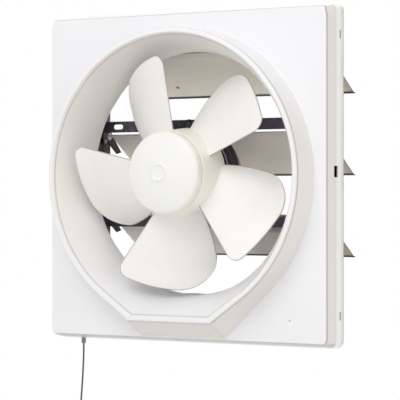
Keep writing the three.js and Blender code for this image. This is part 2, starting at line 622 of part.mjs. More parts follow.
// ---------------------------------------------------------------- motor, in the fan axis group
function motorFrontCover() {
  const seatFront = MOTOR_FRONT - MOTOR_BOSS_PROUD + MOTOR_WALL;
  const seatRear = seatFront + BEARING_SEAT_DEPTH;
  const seat = BEARING_RADIUS + GAP;
  const inner = MOTOR_RADIUS - MOTOR_WALL;
  const cup = turned([
    [BORE_RADIUS + 0.7, seatFront - MOTOR_WALL], [MOTOR_BOSS, seatFront - MOTOR_WALL],
    [MOTOR_BOSS, MOTOR_FRONT], [MOTOR_RADIUS - 6, MOTOR_FRONT], [MOTOR_RADIUS - 1.8, MOTOR_FRONT + 1.6],
    [MOTOR_RADIUS, MOTOR_FRONT + 5], [MOTOR_RADIUS, FLANGE_FRONT_Y], [MOTOR_FLANGE, FLANGE_FRONT_Y], [MOTOR_FLANGE, FLANGE_REAR_Y],
    [inner, FLANGE_REAR_Y], [inner, MOTOR_FRONT + 6], [inner - 3, MOTOR_FRONT + MOTOR_WALL],
    [seat + MOTOR_WALL, MOTOR_FRONT + MOTOR_WALL], [seat + MOTOR_WALL, seatRear], [seat, seatRear],
    [seat, seatFront], [BORE_RADIUS + 0.7, seatFront], [BORE_RADIUS + 0.7, seatFront - MOTOR_WALL],
  ]);
  const lugs = [];
  const holes = [];
  for (const row of [-1, 1]) {
    for (const side of [-1, 1]) {
      const x = side * MOTOR_LUG_X;
      const z = row * STAY_OFFSET;
      const foot = MOTOR_RADIUS * 0.85;
      const outline = [[x - MOTOR_LUG_WIDTH / 2, row * foot], [x + MOTOR_LUG_WIDTH / 2, row * foot],
        ...arc(x, z, MOTOR_LUG_WIDTH / 2, 0, row * 180, 8)];
      lugs.push(solid(extrudeAlongY(outline, FLANGE_FRONT_Y, FLANGE_REAR_Y)));
      holes.push(solid(rod(MOTOR_SCREW_RADIUS + GAP, [x, FLANGE_FRONT_Y - 3, z],
        [x, FLANGE_REAR_Y + 3, z], 12)));
    }
  }
  const room = solid(rod(inner, [0, FLANGE_FRONT_Y - 1, 0], [0, FLANGE_REAR_Y + 1, 0], 28));
  const flanges = cut(lugs.reduce((whole, next) => whole.add(next)), room);
  return cut(solid(cup).add(flanges), ...holes);
}

function motorRearCover() {
  const front = FLANGE_REAR_Y + GAP;
  const inner = MOTOR_REAR_RADIUS - MOTOR_WALL;
  const seat = BEARING_RADIUS + GAP;
  const seatRear = MOTOR_REAR + MOTOR_REAR_BOSS - MOTOR_WALL;
  const seatFront = seatRear - BEARING_SEAT_DEPTH;
  return turned([
    [inner, front], [MOTOR_REAR_RADIUS + 0.8, front], [MOTOR_REAR_RADIUS + 0.8, front + MOTOR_WALL],
    [MOTOR_REAR_RADIUS, front + MOTOR_WALL], [MOTOR_REAR_RADIUS, MOTOR_REAR - 5],
    [MOTOR_REAR_RADIUS - 2, MOTOR_REAR - 1.6], [MOTOR_REAR_RADIUS - 6, MOTOR_REAR], [MOTOR_BOSS, MOTOR_REAR],
    [MOTOR_BOSS, MOTOR_REAR + MOTOR_REAR_BOSS], [0, MOTOR_REAR + MOTOR_REAR_BOSS], [0, seatRear],
    [seat, seatRear], [seat, seatFront], [seat + MOTOR_WALL, seatFront],
    [seat + MOTOR_WALL, MOTOR_REAR - MOTOR_WALL], [inner - 3, MOTOR_REAR - MOTOR_WALL],
    [inner, MOTOR_REAR - 6], [inner, front],
  ]);
}

function bearing(front) {
  const rear = front + BEARING_LENGTH;
  return turned([[BORE_RADIUS, front], [BEARING_RADIUS - 0.6, front], [BEARING_RADIUS, front + 0.6],
    [BEARING_RADIUS, rear - 0.6], [BEARING_RADIUS - 0.6, rear], [BORE_RADIUS, rear], [BORE_RADIUS, front]], 18);
}

function statorCore() {
  const outer = MOTOR_REAR_RADIUS - MOTOR_WALL - GAP;
  const shape = new THREE.Shape();
  shape.absarc(0, 0, outer, 0, 2 * Math.PI);
  const bore = new THREE.Path();
  const slotDeep = outer - 6;
  for (let k = 0; k < STATOR_SLOTS; k += 1) {
    const middle = 2 * Math.PI * k / STATOR_SLOTS;
    const pitch = 2 * Math.PI / STATOR_SLOTS;
    const at = (share, radius) => {
      const a = middle + share * pitch;
      return [radius * Math.cos(a), radius * Math.sin(a)];
    };
    const corners = [at(-0.42, CORE_INNER), at(-0.1, CORE_INNER), at(-0.1, CORE_INNER + 2),
      at(-0.22, slotDeep), at(0.22, slotDeep), at(0.1, CORE_INNER + 2), at(0.1, CORE_INNER)];
    corners.forEach(([x, y], i) => (k + i === 0 ? bore.moveTo(x, y) : bore.lineTo(x, y)));
  }
  bore.closePath();
  shape.holes.push(bore);
  const geometry = new THREE.ExtrudeGeometry(shape,
    { depth: CORE_LENGTH, bevelEnabled: false, curveSegments: 28 });
  return geometry.rotateX(Math.PI / 2).translate(0, CORE_FRONT_Y + CORE_LENGTH, 0);
}

function winding(front) {
  const inner = CORE_INNER + 3;
  const outer = MOTOR_REAR_RADIUS - MOTOR_WALL - 5;
  const rear = front + WINDING_THICK;
  return turned([[inner, front], [outer - 1.5, front], [outer, front + 1.5], [outer, rear], [inner, rear],
    [inner, front]], 24);
}

function rotorCore() {
  const outer = CORE_INNER - 0.5;
  const rear = CORE_FRONT_Y + CORE_LENGTH;
  return turned([[BORE_RADIUS, CORE_FRONT_Y], [outer, CORE_FRONT_Y], [outer, rear], [BORE_RADIUS, rear],
    [BORE_RADIUS, CORE_FRONT_Y]], 28);
}

const FRONT_BEARING_Y = MOTOR_FRONT - MOTOR_BOSS_PROUD + MOTOR_WALL + GAP;
const REAR_BEARING_Y = MOTOR_REAR + MOTOR_REAR_BOSS - MOTOR_WALL - GAP - BEARING_LENGTH;
const DRIVE_PIN_Y = HUB_REAR_Y;

function motorShaft() {
  const rear = REAR_BEARING_Y + BEARING_LENGTH;
  const bar = turned([[0, SHAFT_FRONT_Y], [SHAFT_RADIUS - 0.5, SHAFT_FRONT_Y],
    [SHAFT_RADIUS, SHAFT_FRONT_Y + 0.5], [SHAFT_RADIUS, rear], [0, rear]], 24);
  const reach = SHAFT_RADIUS + 2;
  const hole = rod(DRIVE_PIN_RADIUS + GAP, [-reach, DRIVE_PIN_Y, 0], [reach, DRIVE_PIN_Y, 0], 12);
  return cut(solid(bar), solid(hole));
}

// ---------------------------------------------------------------- propeller, in the fan axis group
const hubRadiusAt = (y) => lerp(HUB_FRONT_RADIUS, HUB_REAR_RADIUS, (y - HUB_FRONT_Y) / HUB_LENGTH);

function hub() {
  const bossFront = HUB_FRONT_Y - BOSS_AHEAD;
  const inner = (y) => hubRadiusAt(y) - HUB_WALL;
  const inside = HUB_FRONT_Y + HUB_WALL;
  const cone = turned([
    [BORE_RADIUS, bossFront], [HUB_BOSS, bossFront], [HUB_BOSS, HUB_FRONT_Y],
    [HUB_FRONT_RADIUS - 1, HUB_FRONT_Y], [hubRadiusAt(HUB_FRONT_Y + 1), HUB_FRONT_Y + 1],
    [HUB_REAR_RADIUS, HUB_REAR_Y], [HUB_REAR_RADIUS - HUB_WALL, HUB_REAR_Y],
    [inner(inside), inside], [HUB_BOSS, inside], [HUB_BOSS, HUB_REAR_Y], [BORE_RADIUS, HUB_REAR_Y],
    [BORE_RADIUS, bossFront],
  ], 45);
  return solid(cone);
}

function bladeTip(u) {
  // Tip radius across the chord, with a quarter ellipse at each corner.
  const ease = (x, drop) => drop * (1 - Math.sqrt(Math.max(0, 1 - Math.min(1, Math.max(0, x)) ** 2)));
  return BLADE_TIP - ease((0.12 - u) / 0.12, LEAD_OUT_RADIUS) - ease((u - 0.66) / 0.34, TRAIL_OUT_RADIUS);
}

function bladePoint(turn, u, v) {
  const rootInside = 1.1;
  const leadY = (r) => HUB_FRONT_Y + 14 - (r - HUB_REAR_RADIUS) * 0.19;
  const outside = (r) => Math.min(1, Math.max(0, (r - HUB_REAR_RADIUS) / TRAIL_DEEP_LONG));
  const trailY = (r) => HUB_REAR_Y - 4 + TRAIL_DEEP * outside(r) ** 0.9;
  const rootY = lerp(leadY(HUB_REAR_RADIUS), trailY(HUB_REAR_RADIUS), u);
  const root = hubRadiusAt(rootY) - rootInside;
  const r = lerp(root, bladeTip(u), v);
  const spread = BLADE_SPAN + BLADE_SPREAD * (BLADE_SPAN_RADIUS - r);
  const angle = radians(BLADE_START + turn + spread * u);
  const y = lerp(leadY(r), trailY(r), u) - BLADE_CAMBER * Math.sin(Math.PI * u) * Math.min(1, 0.25 + v);
  return new THREE.Vector3(r * Math.cos(angle), y, r * Math.sin(angle));
}

function propeller() {
  const oval = (u) => 0.45 + 0.55 * Math.sin(Math.PI * u) ** 0.5;
  const thick = (u, v) => lerp(BLADE_ROOT_THICK, BLADE_TIP_THICK, v) * oval(u);
  const safe = (u) => Math.min(0.9995, Math.max(0.0005, u));
  let body = hub();
  for (let k = 0; k < BLADE_COUNT; k += 1) {
    const turn = 360 * k / BLADE_COUNT;
    body = body.add(solid(sheetSolid((u, v) => bladePoint(turn, u, v), (u, v) => thick(safe(u), v), 8, 5)));
  }
  const slot = rod(DRIVE_PIN_RADIUS + GAP, [-HUB_BOSS - 2, DRIVE_PIN_Y, 0], [HUB_BOSS + 2, DRIVE_PIN_Y, 0], 12);
  return cut(body, solid(slot));
}

function spinnerCap() {
  const bossRear = BOSS_FRONT_Y - GAP;
  const dome = (share) => [SPINNER_RADIUS * share * 0.985, lerp(SPINNER_TOP_Y, SPINNER_EDGE_Y, share ** 2.2)];
  const outside = [0.45, 0.7, 0.88].map(dome);
  const inside = [0.85, 0.5].map((share) => {
    const [r, y] = dome(share);
    return [r, y + HUB_WALL];
  });
  const capEnd = SHAFT_FRONT_Y - GAP;
  return turned([
    [0, SPINNER_TOP_Y - SPINNER_BUTTON_PROUD], [SPINNER_BUTTON - 0.6, SPINNER_TOP_Y - SPINNER_BUTTON_PROUD],
    [SPINNER_BUTTON, SPINNER_TOP_Y - SPINNER_BUTTON_PROUD + 0.6], [SPINNER_BUTTON, SPINNER_TOP_Y + 0.6],
    ...outside, [SPINNER_RADIUS, SPINNER_EDGE_Y + 1.4], [SPINNER_RADIUS, SPINNER_REAR_Y],
    [SPINNER_RADIUS - HUB_WALL, SPINNER_REAR_Y], [SPINNER_RADIUS - HUB_WALL, SPINNER_EDGE_Y + 2.4], ...inside,
    [HUB_BOSS, SPINNER_TOP_Y + HUB_WALL + 1], [HUB_BOSS, bossRear], [BORE_RADIUS, bossRear],
    [BORE_RADIUS, capEnd], [0, capEnd],
  ], 40);
}

// ---------------------------------------------------------------- shutters, each in its hinge group
const tilt = radians(SHUTTER_OPEN);
const down = [Math.sin(tilt), -Math.cos(tilt)];      // along the open leaf, hinge to lower edge
const inward = [-Math.cos(tilt), -Math.sin(tilt)];   // square to it, on the room side
const armTurn = radians(180 + SHUTTER_OPEN / 2);
const armEnd = [LINK_ARM * Math.cos(armTurn), LINK_ARM * Math.sin(armTurn)];

const along = (a, b) => [down[0] * a + inward[0] * b, down[1] * a + inward[1] * b];

function earOutline() {
  const start = 180 - SHUTTER_OPEN;
  return [...arc(0, 0, SHUTTER_EAR, start - 90, start + 90, 6), along(SHUTTER_EAR_LONG * 0.8, SHUTTER_EAR),
    along(SHUTTER_EAR_LONG, 0)];
}

function armOutline() {
  const heading = 180 + SHUTTER_OPEN / 2;
  return [...arc(0, 0, SHUTTER_EAR - 1, heading + 90, heading + 270, 5),
    ...arc(armEnd[0], armEnd[1], LINK_WIDTH * 0.62, heading - 90, heading + 90, 5)];
}

function shutter() {
  const edge = along(SHUTTER_FACE, 0);
  const leaf = extrudeAlongX(
    strip([[-SHUTTER_FLANGE, 0], [0, 0], edge, [edge[0] + SHUTTER_LIP, edge[1]]], SHUTTER_SHEET),
    -SHUTTER_HALF, SHUTTER_HALF);
  const inner = SHUTTER_HALF - SHUTTER_SHEET;
  const body = join(leaf, extrudeAlongX(earOutline(), -SHUTTER_HALF, -inner),
    extrudeAlongX(earOutline(), inner, SHUTTER_HALF), extrudeAlongX(armOutline(), -SHUTTER_HALF, -inner));
  const notchEnd = -inner + GAP + LINK_THICK + GAP + RIVET_HEAD_THICK + 2;
  const tools = [
    solid(box(-inner, notchEnd, -SHUTTER_FLANGE - 2, -SHUTTER_PIN_HEAD, -2, 2)),
    solid(rod(LINK_RIVET_RADIUS + GAP, [-SHUTTER_HALF - 2, ...armEnd], [-inner + 2, ...armEnd], 12)),
    ...[-1, 1].map((side) => solid(rod(SHUTTER_PIN_RADIUS + GAP, [side * (SHUTTER_HALF + 2), 0, 0],
      [side * (inner - 2), 0, 0], 12))),
    ...[-1, 1].map((side) => solid(rod(SHUTTER_PIN_HEAD + GAP, [side * inner, 0, 0],
      [side * (inner - GAP - PIN_HEAD_THICK - GAP), 0, 0], 20))),
  ];
  return cut(body, ...tools);
}

function shutterPin(side) {
  const inner = SHUTTER_HALF - SHUTTER_SHEET - GAP;
  return screw(SHUTTER_PIN_RADIUS, [side * inner, 0, 0], [side * (SLEEVE_HALF - 0.2), 0, 0],
    SHUTTER_PIN_HEAD, PIN_HEAD_THICK);
}

// ---------------------------------------------------------------- link bar down the left ends of the shutters
const LINK_X = -SHUTTER_HALF + SHUTTER_SHEET + GAP;
const linkPinZ = (i) => hingeZ(i) + armEnd[1];
const LINK_Y = SHUTTER_HINGE_Y + armEnd[0];

function linkBar() {
  const top = linkPinZ(0) + LINK_END;
  const bottom = linkPinZ(SHUTTER_COUNT - 1) - LINK_END;
  const half = LINK_WIDTH / 2;
  const corner = half * 0.5;
  const outline = [[LINK_Y - half, bottom + corner], [LINK_Y - half + corner, bottom],
    [LINK_Y + half - corner, bottom], [LINK_Y + half, bottom + corner], [LINK_Y + half, top - corner],
    [LINK_Y + half - corner, top], [LINK_Y - half + corner, top], [LINK_Y - half, top - corner]];
  const bar = solid(extrudeAlongX(outline, LINK_X, LINK_X + LINK_THICK));
  const holes = Array.from({ length: SHUTTER_COUNT }, (_, i) => solid(rod(LINK_RIVET_RADIUS + GAP,
    [LINK_X - 2, LINK_Y, linkPinZ(i)], [LINK_X + LINK_THICK + 2, LINK_Y, linkPinZ(i)], 12)));
  return cut(bar, ...holes);
}

function linkRivet(i) {
  const outer = -SHUTTER_HALF - GAP;
  const inner = LINK_X + LINK_THICK + GAP;
  const profile = [[0, outer - RIVET_HEAD_THICK], [LINK_RIVET_HEAD, outer - RIVET_HEAD_THICK],
    [LINK_RIVET_HEAD, outer], [LINK_RIVET_RADIUS, outer], [LINK_RIVET_RADIUS, inner], [LINK_RIVET_HEAD, inner],
    [LINK_RIVET_HEAD, inner + RIVET_HEAD_THICK], [0, inner + RIVET_HEAD_THICK]];
  return turned(profile, 12).rotateZ(-Math.PI / 2).translate(0, LINK_Y, linkPinZ(i));
}

// ---------------------------------------------------------------- pull switch and lever
const LEVER_X = CORD_X - LEVER_ARM * Math.cos(radians(LEVER_TILT));
const FLANGE_FACE = -SHEET;
const EYE_Z = LEVER_Z + LEVER_ARM * Math.sin(radians(LEVER_TILT));

function roundedBlock(x0, x1, y0, y1, z0, z1, corner) {
  const centres = [[x1 - corner, z1 - corner], [x0 + corner, z1 - corner], [x0 + corner, z0 + corner],
    [x1 - corner, z0 + corner]];
  const outline = centres.flatMap(([x, z], i) => arc(x, z, corner, 90 * i, 90 * i + 90, 4));
  return extrudeAlongY(outline, y0, y1);
}

function pullLever() {
  const front = CORD_Y - LEVER_THICK / 2;
  const rear = CORD_Y + LEVER_THICK / 2;
  const half = LEVER_TALL / 2;
  const outline = [...arc(0, 0, half + 1, 60, 300, 10), ...arc(LEVER_ARM, 0, half, -90, 90, 8)];
  const place = (geometry) => geometry.rotateY(-radians(LEVER_TILT)).translate(LEVER_X, 0, LEVER_Z);
  const upright = (radius, reach) =>
    place(rod(radius, [LEVER_ARM, CORD_Y, -reach], [LEVER_ARM, CORD_Y, reach], 16));
  const pivot = rod(LEVER_PIN_RADIUS + GAP, [LEVER_X, front - 3, LEVER_Z], [LEVER_X, rear + 3, LEVER_Z], 16);
  const lever = join(place(extrudeAlongY(outline, front, rear)), upright(EYE_RADIUS + EYE_WALL, half));
  return cut(lever, solid(upright(EYE_RADIUS, half + 3)), solid(pivot));
}

function leverPin() {
  const front = CORD_Y - LEVER_THICK / 2 - GAP;
  return screw(LEVER_PIN_RADIUS, [LEVER_X, front, LEVER_Z], [LEVER_X, FLANGE_FACE - GAP, LEVER_Z],
    LEVER_PIN_HEAD, LEVER_PIN_HEAD_THICK);
}

function returnSpring() {
  // Torsion spring round the lever pin, between the lever and the flange.
  const turns = 3;
  const wire = 0.35;
  const radius = LEVER_PIN_RADIUS + GAP + 0.35 + wire;
  const from = CORD_Y + LEVER_THICK / 2 + GAP + wire;
  const to = FLANGE_FACE - GAP - wire;
  const steps = 8 * turns;
  const rings = Array.from({ length: steps + 1 }, (_, i) => {
    const a = 2 * Math.PI * i / 8;
    const y = lerp(from, to, i / steps);
    return Array.from({ length: 5 }, (__, k) => {
      const b = 2 * Math.PI * k / 5;
      const r = radius + wire * Math.cos(b);
      return new THREE.Vector3(LEVER_X + r * Math.cos(a), y + wire * Math.sin(b), LEVER_Z + r * Math.sin(a));
    });
  });
  return loft(rings, false);
}

// ---------------------------------------------------------------- motor lead, under the lower stay
function motorLead() {
  const under = stayZ(-1) - STAY_HEIGHT / 2 - 2 * GAP - LEAD_RADIUS;
  const start = MOTOR_RADIUS + GAP;
  const leave = radians(-50);
  const x0 = start * Math.cos(leave);
  const z0 = AXIS_Z + start * Math.sin(leave);
  const endX = BOX_X + TERMINAL_WIDTH / 2;
  return tubeAlong([
    [x0, 3, z0], [x0 + 4, 3.6, z0 - 5], [x0 + 9, 6, under + 5], [x0 + 17, 8.5, under - 0.4],
    [x0 + 30, STAY_FRONT + 1, under - 0.2], [x0 + 60, STAY_FRONT + 2, under],
    [SLEEVE_INNER - 20, STAY_FRONT + 1, under],
    [SLEEVE_INNER - 8, STAY_FRONT - 6, under - 3], [SLEEVE_INNER - 2, -4.5, under - 9],
    [endX - 8, -6, under - 20], [endX, -8, TERMINAL_TOP + 14], [endX, -8, TERMINAL_TOP + GAP],
  ], LEAD_RADIUS, 36, 8);
}

// ---------------------------------------------------------------- pull cord
const GUIDE_TOP = -rimHalfAt(CORD_Y - GUIDE_COLLAR) + SHEET + GAP + GUIDE_COLLAR_LONG;
const GUIDE_END = RIM_BOTTOM - GUIDE_BELOW;
const CORD_END_Z = -257;                                   // where the free drop meets the hank
const CORD_LEAN = -4;                                      // the drop hangs a little to the left
const CORD_RADIUS = CORD_DIAMETER / 2;
const CORD_SPLIT = 16;                                     // the two lengths of cord meet above the guide

function cordGuide() {
  const bore = CORD_RADIUS + GAP;
  const profile = [[bore, GUIDE_END], [GUIDE_RADIUS - 0.4, GUIDE_END], [GUIDE_RADIUS, GUIDE_END + 0.6],
    [GUIDE_RADIUS, GUIDE_TOP - GUIDE_COLLAR_LONG], [GUIDE_COLLAR, GUIDE_TOP - GUIDE_COLLAR_LONG],
    [GUIDE_COLLAR, GUIDE_TOP], [bore, GUIDE_TOP], [bore, GUIDE_END]];
  return turned(profile, 20).rotateX(Math.PI / 2).translate(CORD_X, CORD_Y, 0);
}

function tubeAlong(points, radius, steps, sides) {
  const outline = new THREE.Shape(arc(0, 0, radius, 0, 360 - 360 / sides, sides - 1)
    .map(([a, b]) => new THREE.Vector2(a, b)));
  const path = new THREE.CatmullRomCurve3(points.map((p) => new THREE.Vector3(...p)));
  return new THREE.ExtrudeGeometry(outline, { steps, extrudePath: path, bevelEnabled: false });
}

function cordUpper() {
  const lean = radians(LEVER_TILT);
  const lift = LEVER_TALL / 2 / Math.cos(lean) + BEAD_RADIUS * Math.tan(lean) + GAP;
  const bead = EYE_Z + lift;
  const stopper = rod(BEAD_RADIUS, [CORD_X, CORD_Y, bead], [CORD_X, CORD_Y, bead + BEAD_LONG], 12);
  const run = rod(CORD_RADIUS, [CORD_X, CORD_Y, GUIDE_TOP + CORD_SPLIT], [CORD_X, CORD_Y, bead + 1], 8);
  return join(stopper, run);
}

const DROP_TOP = GUIDE_TOP + CORD_SPLIT - GAP;

function cordDrop() {
  const fall = GUIDE_END - CORD_END_Z;
  const straight = 6;
  return tubeAlong([
    [CORD_X, CORD_Y, DROP_TOP], [CORD_X, CORD_Y, GUIDE_TOP], [CORD_X, CORD_Y, GUIDE_END],
    [CORD_X + CORD_LEAN * 0.05, CORD_Y, GUIDE_END - fall * 0.2],
    [CORD_X + CORD_LEAN * 0.35, CORD_Y, GUIDE_END - fall * 0.5],
    [CORD_X + CORD_LEAN * 0.8, CORD_Y, GUIDE_END - fall * 0.8],
    [CORD_X + CORD_LEAN, CORD_Y, CORD_END_Z + straight], [CORD_X + CORD_LEAN, CORD_Y, CORD_END_Z],
  ], CORD_RADIUS, 22, 8);
}

// The rest of the cord is folded in a hank: racetrack loops in two layers, in and out again.
const HANK_RUN = 32;              // straight run of a loop
const HANK_FOLD = 6;              // radius of the innermost fold
const HANK_STEP = 3.3;            // one loop lies this far outside the next
const HANK_WAIST = 0.22;          // the runs draw in by this share under the tie
const HANK_LAYERS = 2.55;         // between the two layers
const HANK_TURNS = 3.3;
const HANK_REVERSE = 1.65;
const LOOP_STEPS = 24;
const HANK_OUT = HANK_FOLD + HANK_STEP * HANK_REVERSE;
const HANK_X = CORD_X + CORD_LEAN - HANK_OUT;
const HANK_TOP = CORD_END_Z - GAP;
const HANK_Z = HANK_TOP - 3 - HANK_RUN / 2;

function hankPoint(t) {
  // One loop: 30 % of t down the right run, 20 % round the bottom, 30 % up the left run, 20 % round the top.
  const inward = HANK_STEP * (t < HANK_REVERSE ? t : 2 * HANK_REVERSE - t);
  const width = HANK_OUT - inward;
  const climb = THREE.MathUtils.smoothstep(t, HANK_REVERSE - 0.15, HANK_REVERSE + 0.15);
  const y = CORD_Y - HANK_LAYERS * climb;
  const phase = t % 1;
  const half = HANK_RUN / 2;
  let x;
  let z;
  if (phase < 0.3) [x, z] = [width, lerp(half, -half, phase / 0.3)];
  else if (phase < 0.5) {
    const a = Math.PI * (phase - 0.3) / 0.2;
    [x, z] = [width * Math.cos(a), -half - width * Math.sin(a)];
  } else if (phase < 0.8) [x, z] = [-width, lerp(-half, half, (phase - 0.5) / 0.3)];
  else {
    const a = Math.PI * (phase - 0.8) / 0.2;
    [x, z] = [-width * Math.cos(a), half + width * Math.sin(a)];
  }
  const waist = 1 - HANK_WAIST * Math.exp(-((z / 7) ** 2));
  return new THREE.Vector3(HANK_X + x * waist, y, HANK_Z + z);
}

function hankPath() {
  const steps = Math.round(LOOP_STEPS * HANK_TURNS);
  const line = Array.from({ length: steps + 1 }, (_, i) => hankPoint(HANK_TURNS * i / steps));
  const start = new THREE.Vector3(line[0].x, CORD_Y, HANK_TOP);
  const last = line[line.length - 1];
  const end = new THREE.Vector3(last.x, last.y, HANK_Z - HANK_RUN / 2 - HANK_OUT - 5);
  return [start, ...line, end];
}

function leastGap(points, radius) {
  // Least clear distance between stretches of the tube that are more than three diameters of cord apart.
  const travel = [0];
  for (let i = 1; i < points.length; i += 1) travel.push(travel[i - 1] + points[i].distanceTo(points[i - 1]));
  let least = Infinity;
  for (let i = 0; i < points.length; i += 1) {
    for (let j = i + 1; j < points.length; j += 1) {
      if (travel[j] - travel[i] > 6 * CORD_DIAMETER) least = Math.min(least, points[i].distanceTo(points[j]));
    }
  }
  return { gap: least - 2 * radius, length: travel[travel.length - 1] };
}

function finePath(points) {
  const curve = new THREE.CatmullRomCurve3(points, false, 'centripetal');
  return curve.getPoints(points.length * 5);
}

function cordTie() {
  const half = HANK_OUT * (1 - HANK_WAIST) + CORD_RADIUS + GAP;
  const low = CORD_Y - HANK_LAYERS - CORD_RADIUS - GAP;
  const high = CORD_Y + CORD_RADIUS + GAP;
  const band = 0.8;
  const tall = 4;
  const outer = roundedBlock(HANK_X - half - band, HANK_X + half + band, HANK_Z - tall / 2, HANK_Z + tall / 2,
    low - band, high + band, 1.4);
  const inner = roundedBlock(HANK_X - half, HANK_X + half, HANK_Z - tall, HANK_Z + tall, low, high, 0.8);
  const upright = (geometry) => geometry.applyMatrix4(new THREE.Matrix4().makeBasis(
    new THREE.Vector3(1, 0, 0), new THREE.Vector3(0, 0, 1), new THREE.Vector3(0, 1, 0)));
  return cut(solid(upright(outer)), solid(upright(inner)));
}

function cordKnob(top, x, y) {
  // Shares of the knob's radius and length, from its neck down.
  const shares = [[0, 0], [0.32, 0], [0.44, 0.05], [0.5, 0.28], [0.91, 0.7], [1, 0.84], [0.91, 0.95],
    [0.66, 1], [0, 1]];
  const profile = shares.map(([r, l]) => [r * KNOB_RADIUS, -l * KNOB_LONG]);
  return turned(profile, 18).rotateX(Math.PI / 2).translate(x, y, top);
}

// ---------------------------------------------------------------- assembly
const fan = new THREE.Group();

piece(fan, 'orifice_panel', orificePanel(), colours.panel, { roughness: 0.35 });
piece(fan, 'body_frame', bodyFrame(), colours.body);
piece(fan, 'motor_stay_upper', stay(1, true), colours.stay);
piece(fan, 'motor_stay_lower', stay(-1, false), colours.stay);
const corners = [['top_right', 1, 1], ['top_left', -1, 1], ['low_right', 1, -1], ['low_left', -1, -1]];
for (const [corner, side, row] of corners) {
  piece(fan, `panel_clip_${corner}`, panelClip(side * CLIP_X, row), colours.steel, { metalness: 0.8 });
  piece(fan, `stay_screw_${corner}`, stayScrew(side, row), colours.steel, { metalness: 0.8 });
  piece(fan, `motor_screw_${corner}`, motorScrew(side, row), colours.steel, { metalness: 0.8 });
}

const axle = new THREE.Group();
axle.position.set(0, 0, AXIS_Z);
fan.add(axle);
piece(axle, 'motor_front_cover', motorFrontCover(), colours.motor);
piece(axle, 'motor_rear_cover', motorRearCover(), colours.motor);
piece(axle, 'bearing_front', bearing(FRONT_BEARING_Y), colours.steel, { metalness: 0.8 });
piece(axle, 'bearing_rear', bearing(REAR_BEARING_Y), colours.steel, { metalness: 0.8 });
piece(axle, 'stator_core', statorCore(), colours.core, { metalness: 0.6 });
piece(axle, 'winding_front', winding(CORE_FRONT_Y - GAP - WINDING_THICK), colours.copper, { metalness: 0.5 });
piece(axle, 'winding_rear', winding(CORE_FRONT_Y + CORE_LENGTH + GAP), colours.copper, { metalness: 0.5 });
piece(axle, 'rotor_core', rotorCore(), colours.core, { metalness: 0.6 });
piece(axle, 'motor_shaft', motorShaft(), colours.steel, { metalness: 0.9 });
piece(axle, 'drive_pin', rod(DRIVE_PIN_RADIUS, [-DRIVE_PIN_LENGTH / 2, DRIVE_PIN_Y, 0],
  [DRIVE_PIN_LENGTH / 2, DRIVE_PIN_Y, 0], 16), colours.steel, { metalness: 0.9 });
piece(axle, 'propeller', propeller(), colours.blade);
piece(axle, 'spinner_cap', spinnerCap(), colours.spinner);

for (let i = 0; i < SHUTTER_COUNT; i += 1) {
  const hinge = new THREE.Group();
  hinge.position.set(0, SHUTTER_HINGE_Y, hingeZ(i));
  fan.add(hinge);
  piece(hinge, `shutter_${i + 1}`, shutter(), colours.shutter, { metalness: 0.3 });
  piece(hinge, `shutter_${i + 1}_pin_left`, shutterPin(-1), colours.nylon);
  piece(hinge, `shutter_${i + 1}_pin_right`, shutterPin(1), colours.nylon);
  piece(fan, `link_rivet_${i + 1}`, linkRivet(i), colours.steel, { metalness: 0.8 });
}
piece(fan, 'link_bar', linkBar(), colours.link, { metalness: 0.4 });

const switchTop = LEVER_Z - SWITCH_UNDER;
piece(fan, 'switch_box', roundedBlock(-BOX_X - SWITCH_WIDTH, -BOX_X, SWITCH_FRONT, FLANGE_FACE - GAP,
  switchTop - SWITCH_TALL, switchTop, 2), colours.black);
piece(fan, 'terminal_block', roundedBlock(BOX_X, BOX_X + TERMINAL_WIDTH, TERMINAL_FRONT, FLANGE_FACE - GAP,
  TERMINAL_TOP - TERMINAL_TALL, TERMINAL_TOP, 1.5), colours.cream);
piece(fan, 'motor_lead', motorLead(), colours.black, { roughness: 0.6 });
piece(fan, 'capacitor', roundedBlock(BOX_X, BOX_X + CAPACITOR_WIDTH, CAPACITOR_FRONT, FLANGE_FACE - GAP,
  CAPACITOR_TOP - CAPACITOR_TALL, CAPACITOR_TOP, 3), colours.black);
piece(fan, 'pull_lever', pullLever(), colours.nylon);
piece(fan, 'lever_pin', leverPin(), colours.steel, { metalness: 0.8 });
piece(fan, 'return_spring', returnSpring(), colours.steel, { metalness: 0.9 });

const hank = hankPath();
const tail = hank[hank.length - 1];
piece(fan, 'cord_guide', cordGuide(), colours.grey);
piece(fan, 'cord_upper', cordUpper(), colours.cord, { roughness: 0.9 });
piece(fan, 'cord_drop', cordDrop(), colours.cord, { roughness: 0.9 });
piece(fan, 'cord_hank', sweptTube(hank, CORD_RADIUS, 6), colours.cord, { roughness: 0.9 });
piece(fan, 'cord_tie', cordTie(), colours.black);
piece(fan, 'cord_knob', cordKnob(tail.z - GAP, tail.x, tail.y), colours.cream);

const measured = leastGap(finePath(hank), CORD_RADIUS);
console.log(`cord hank: least gap ${measured.gap.toFixed(2)} mm, length ${measured.length.toFixed(0)} mm`);

export default fan;
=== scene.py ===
"""Window exhaust fan: bell-mouth panel, five-blade propeller, motor on stays, linked shutters, pull cord."""

import json
import math

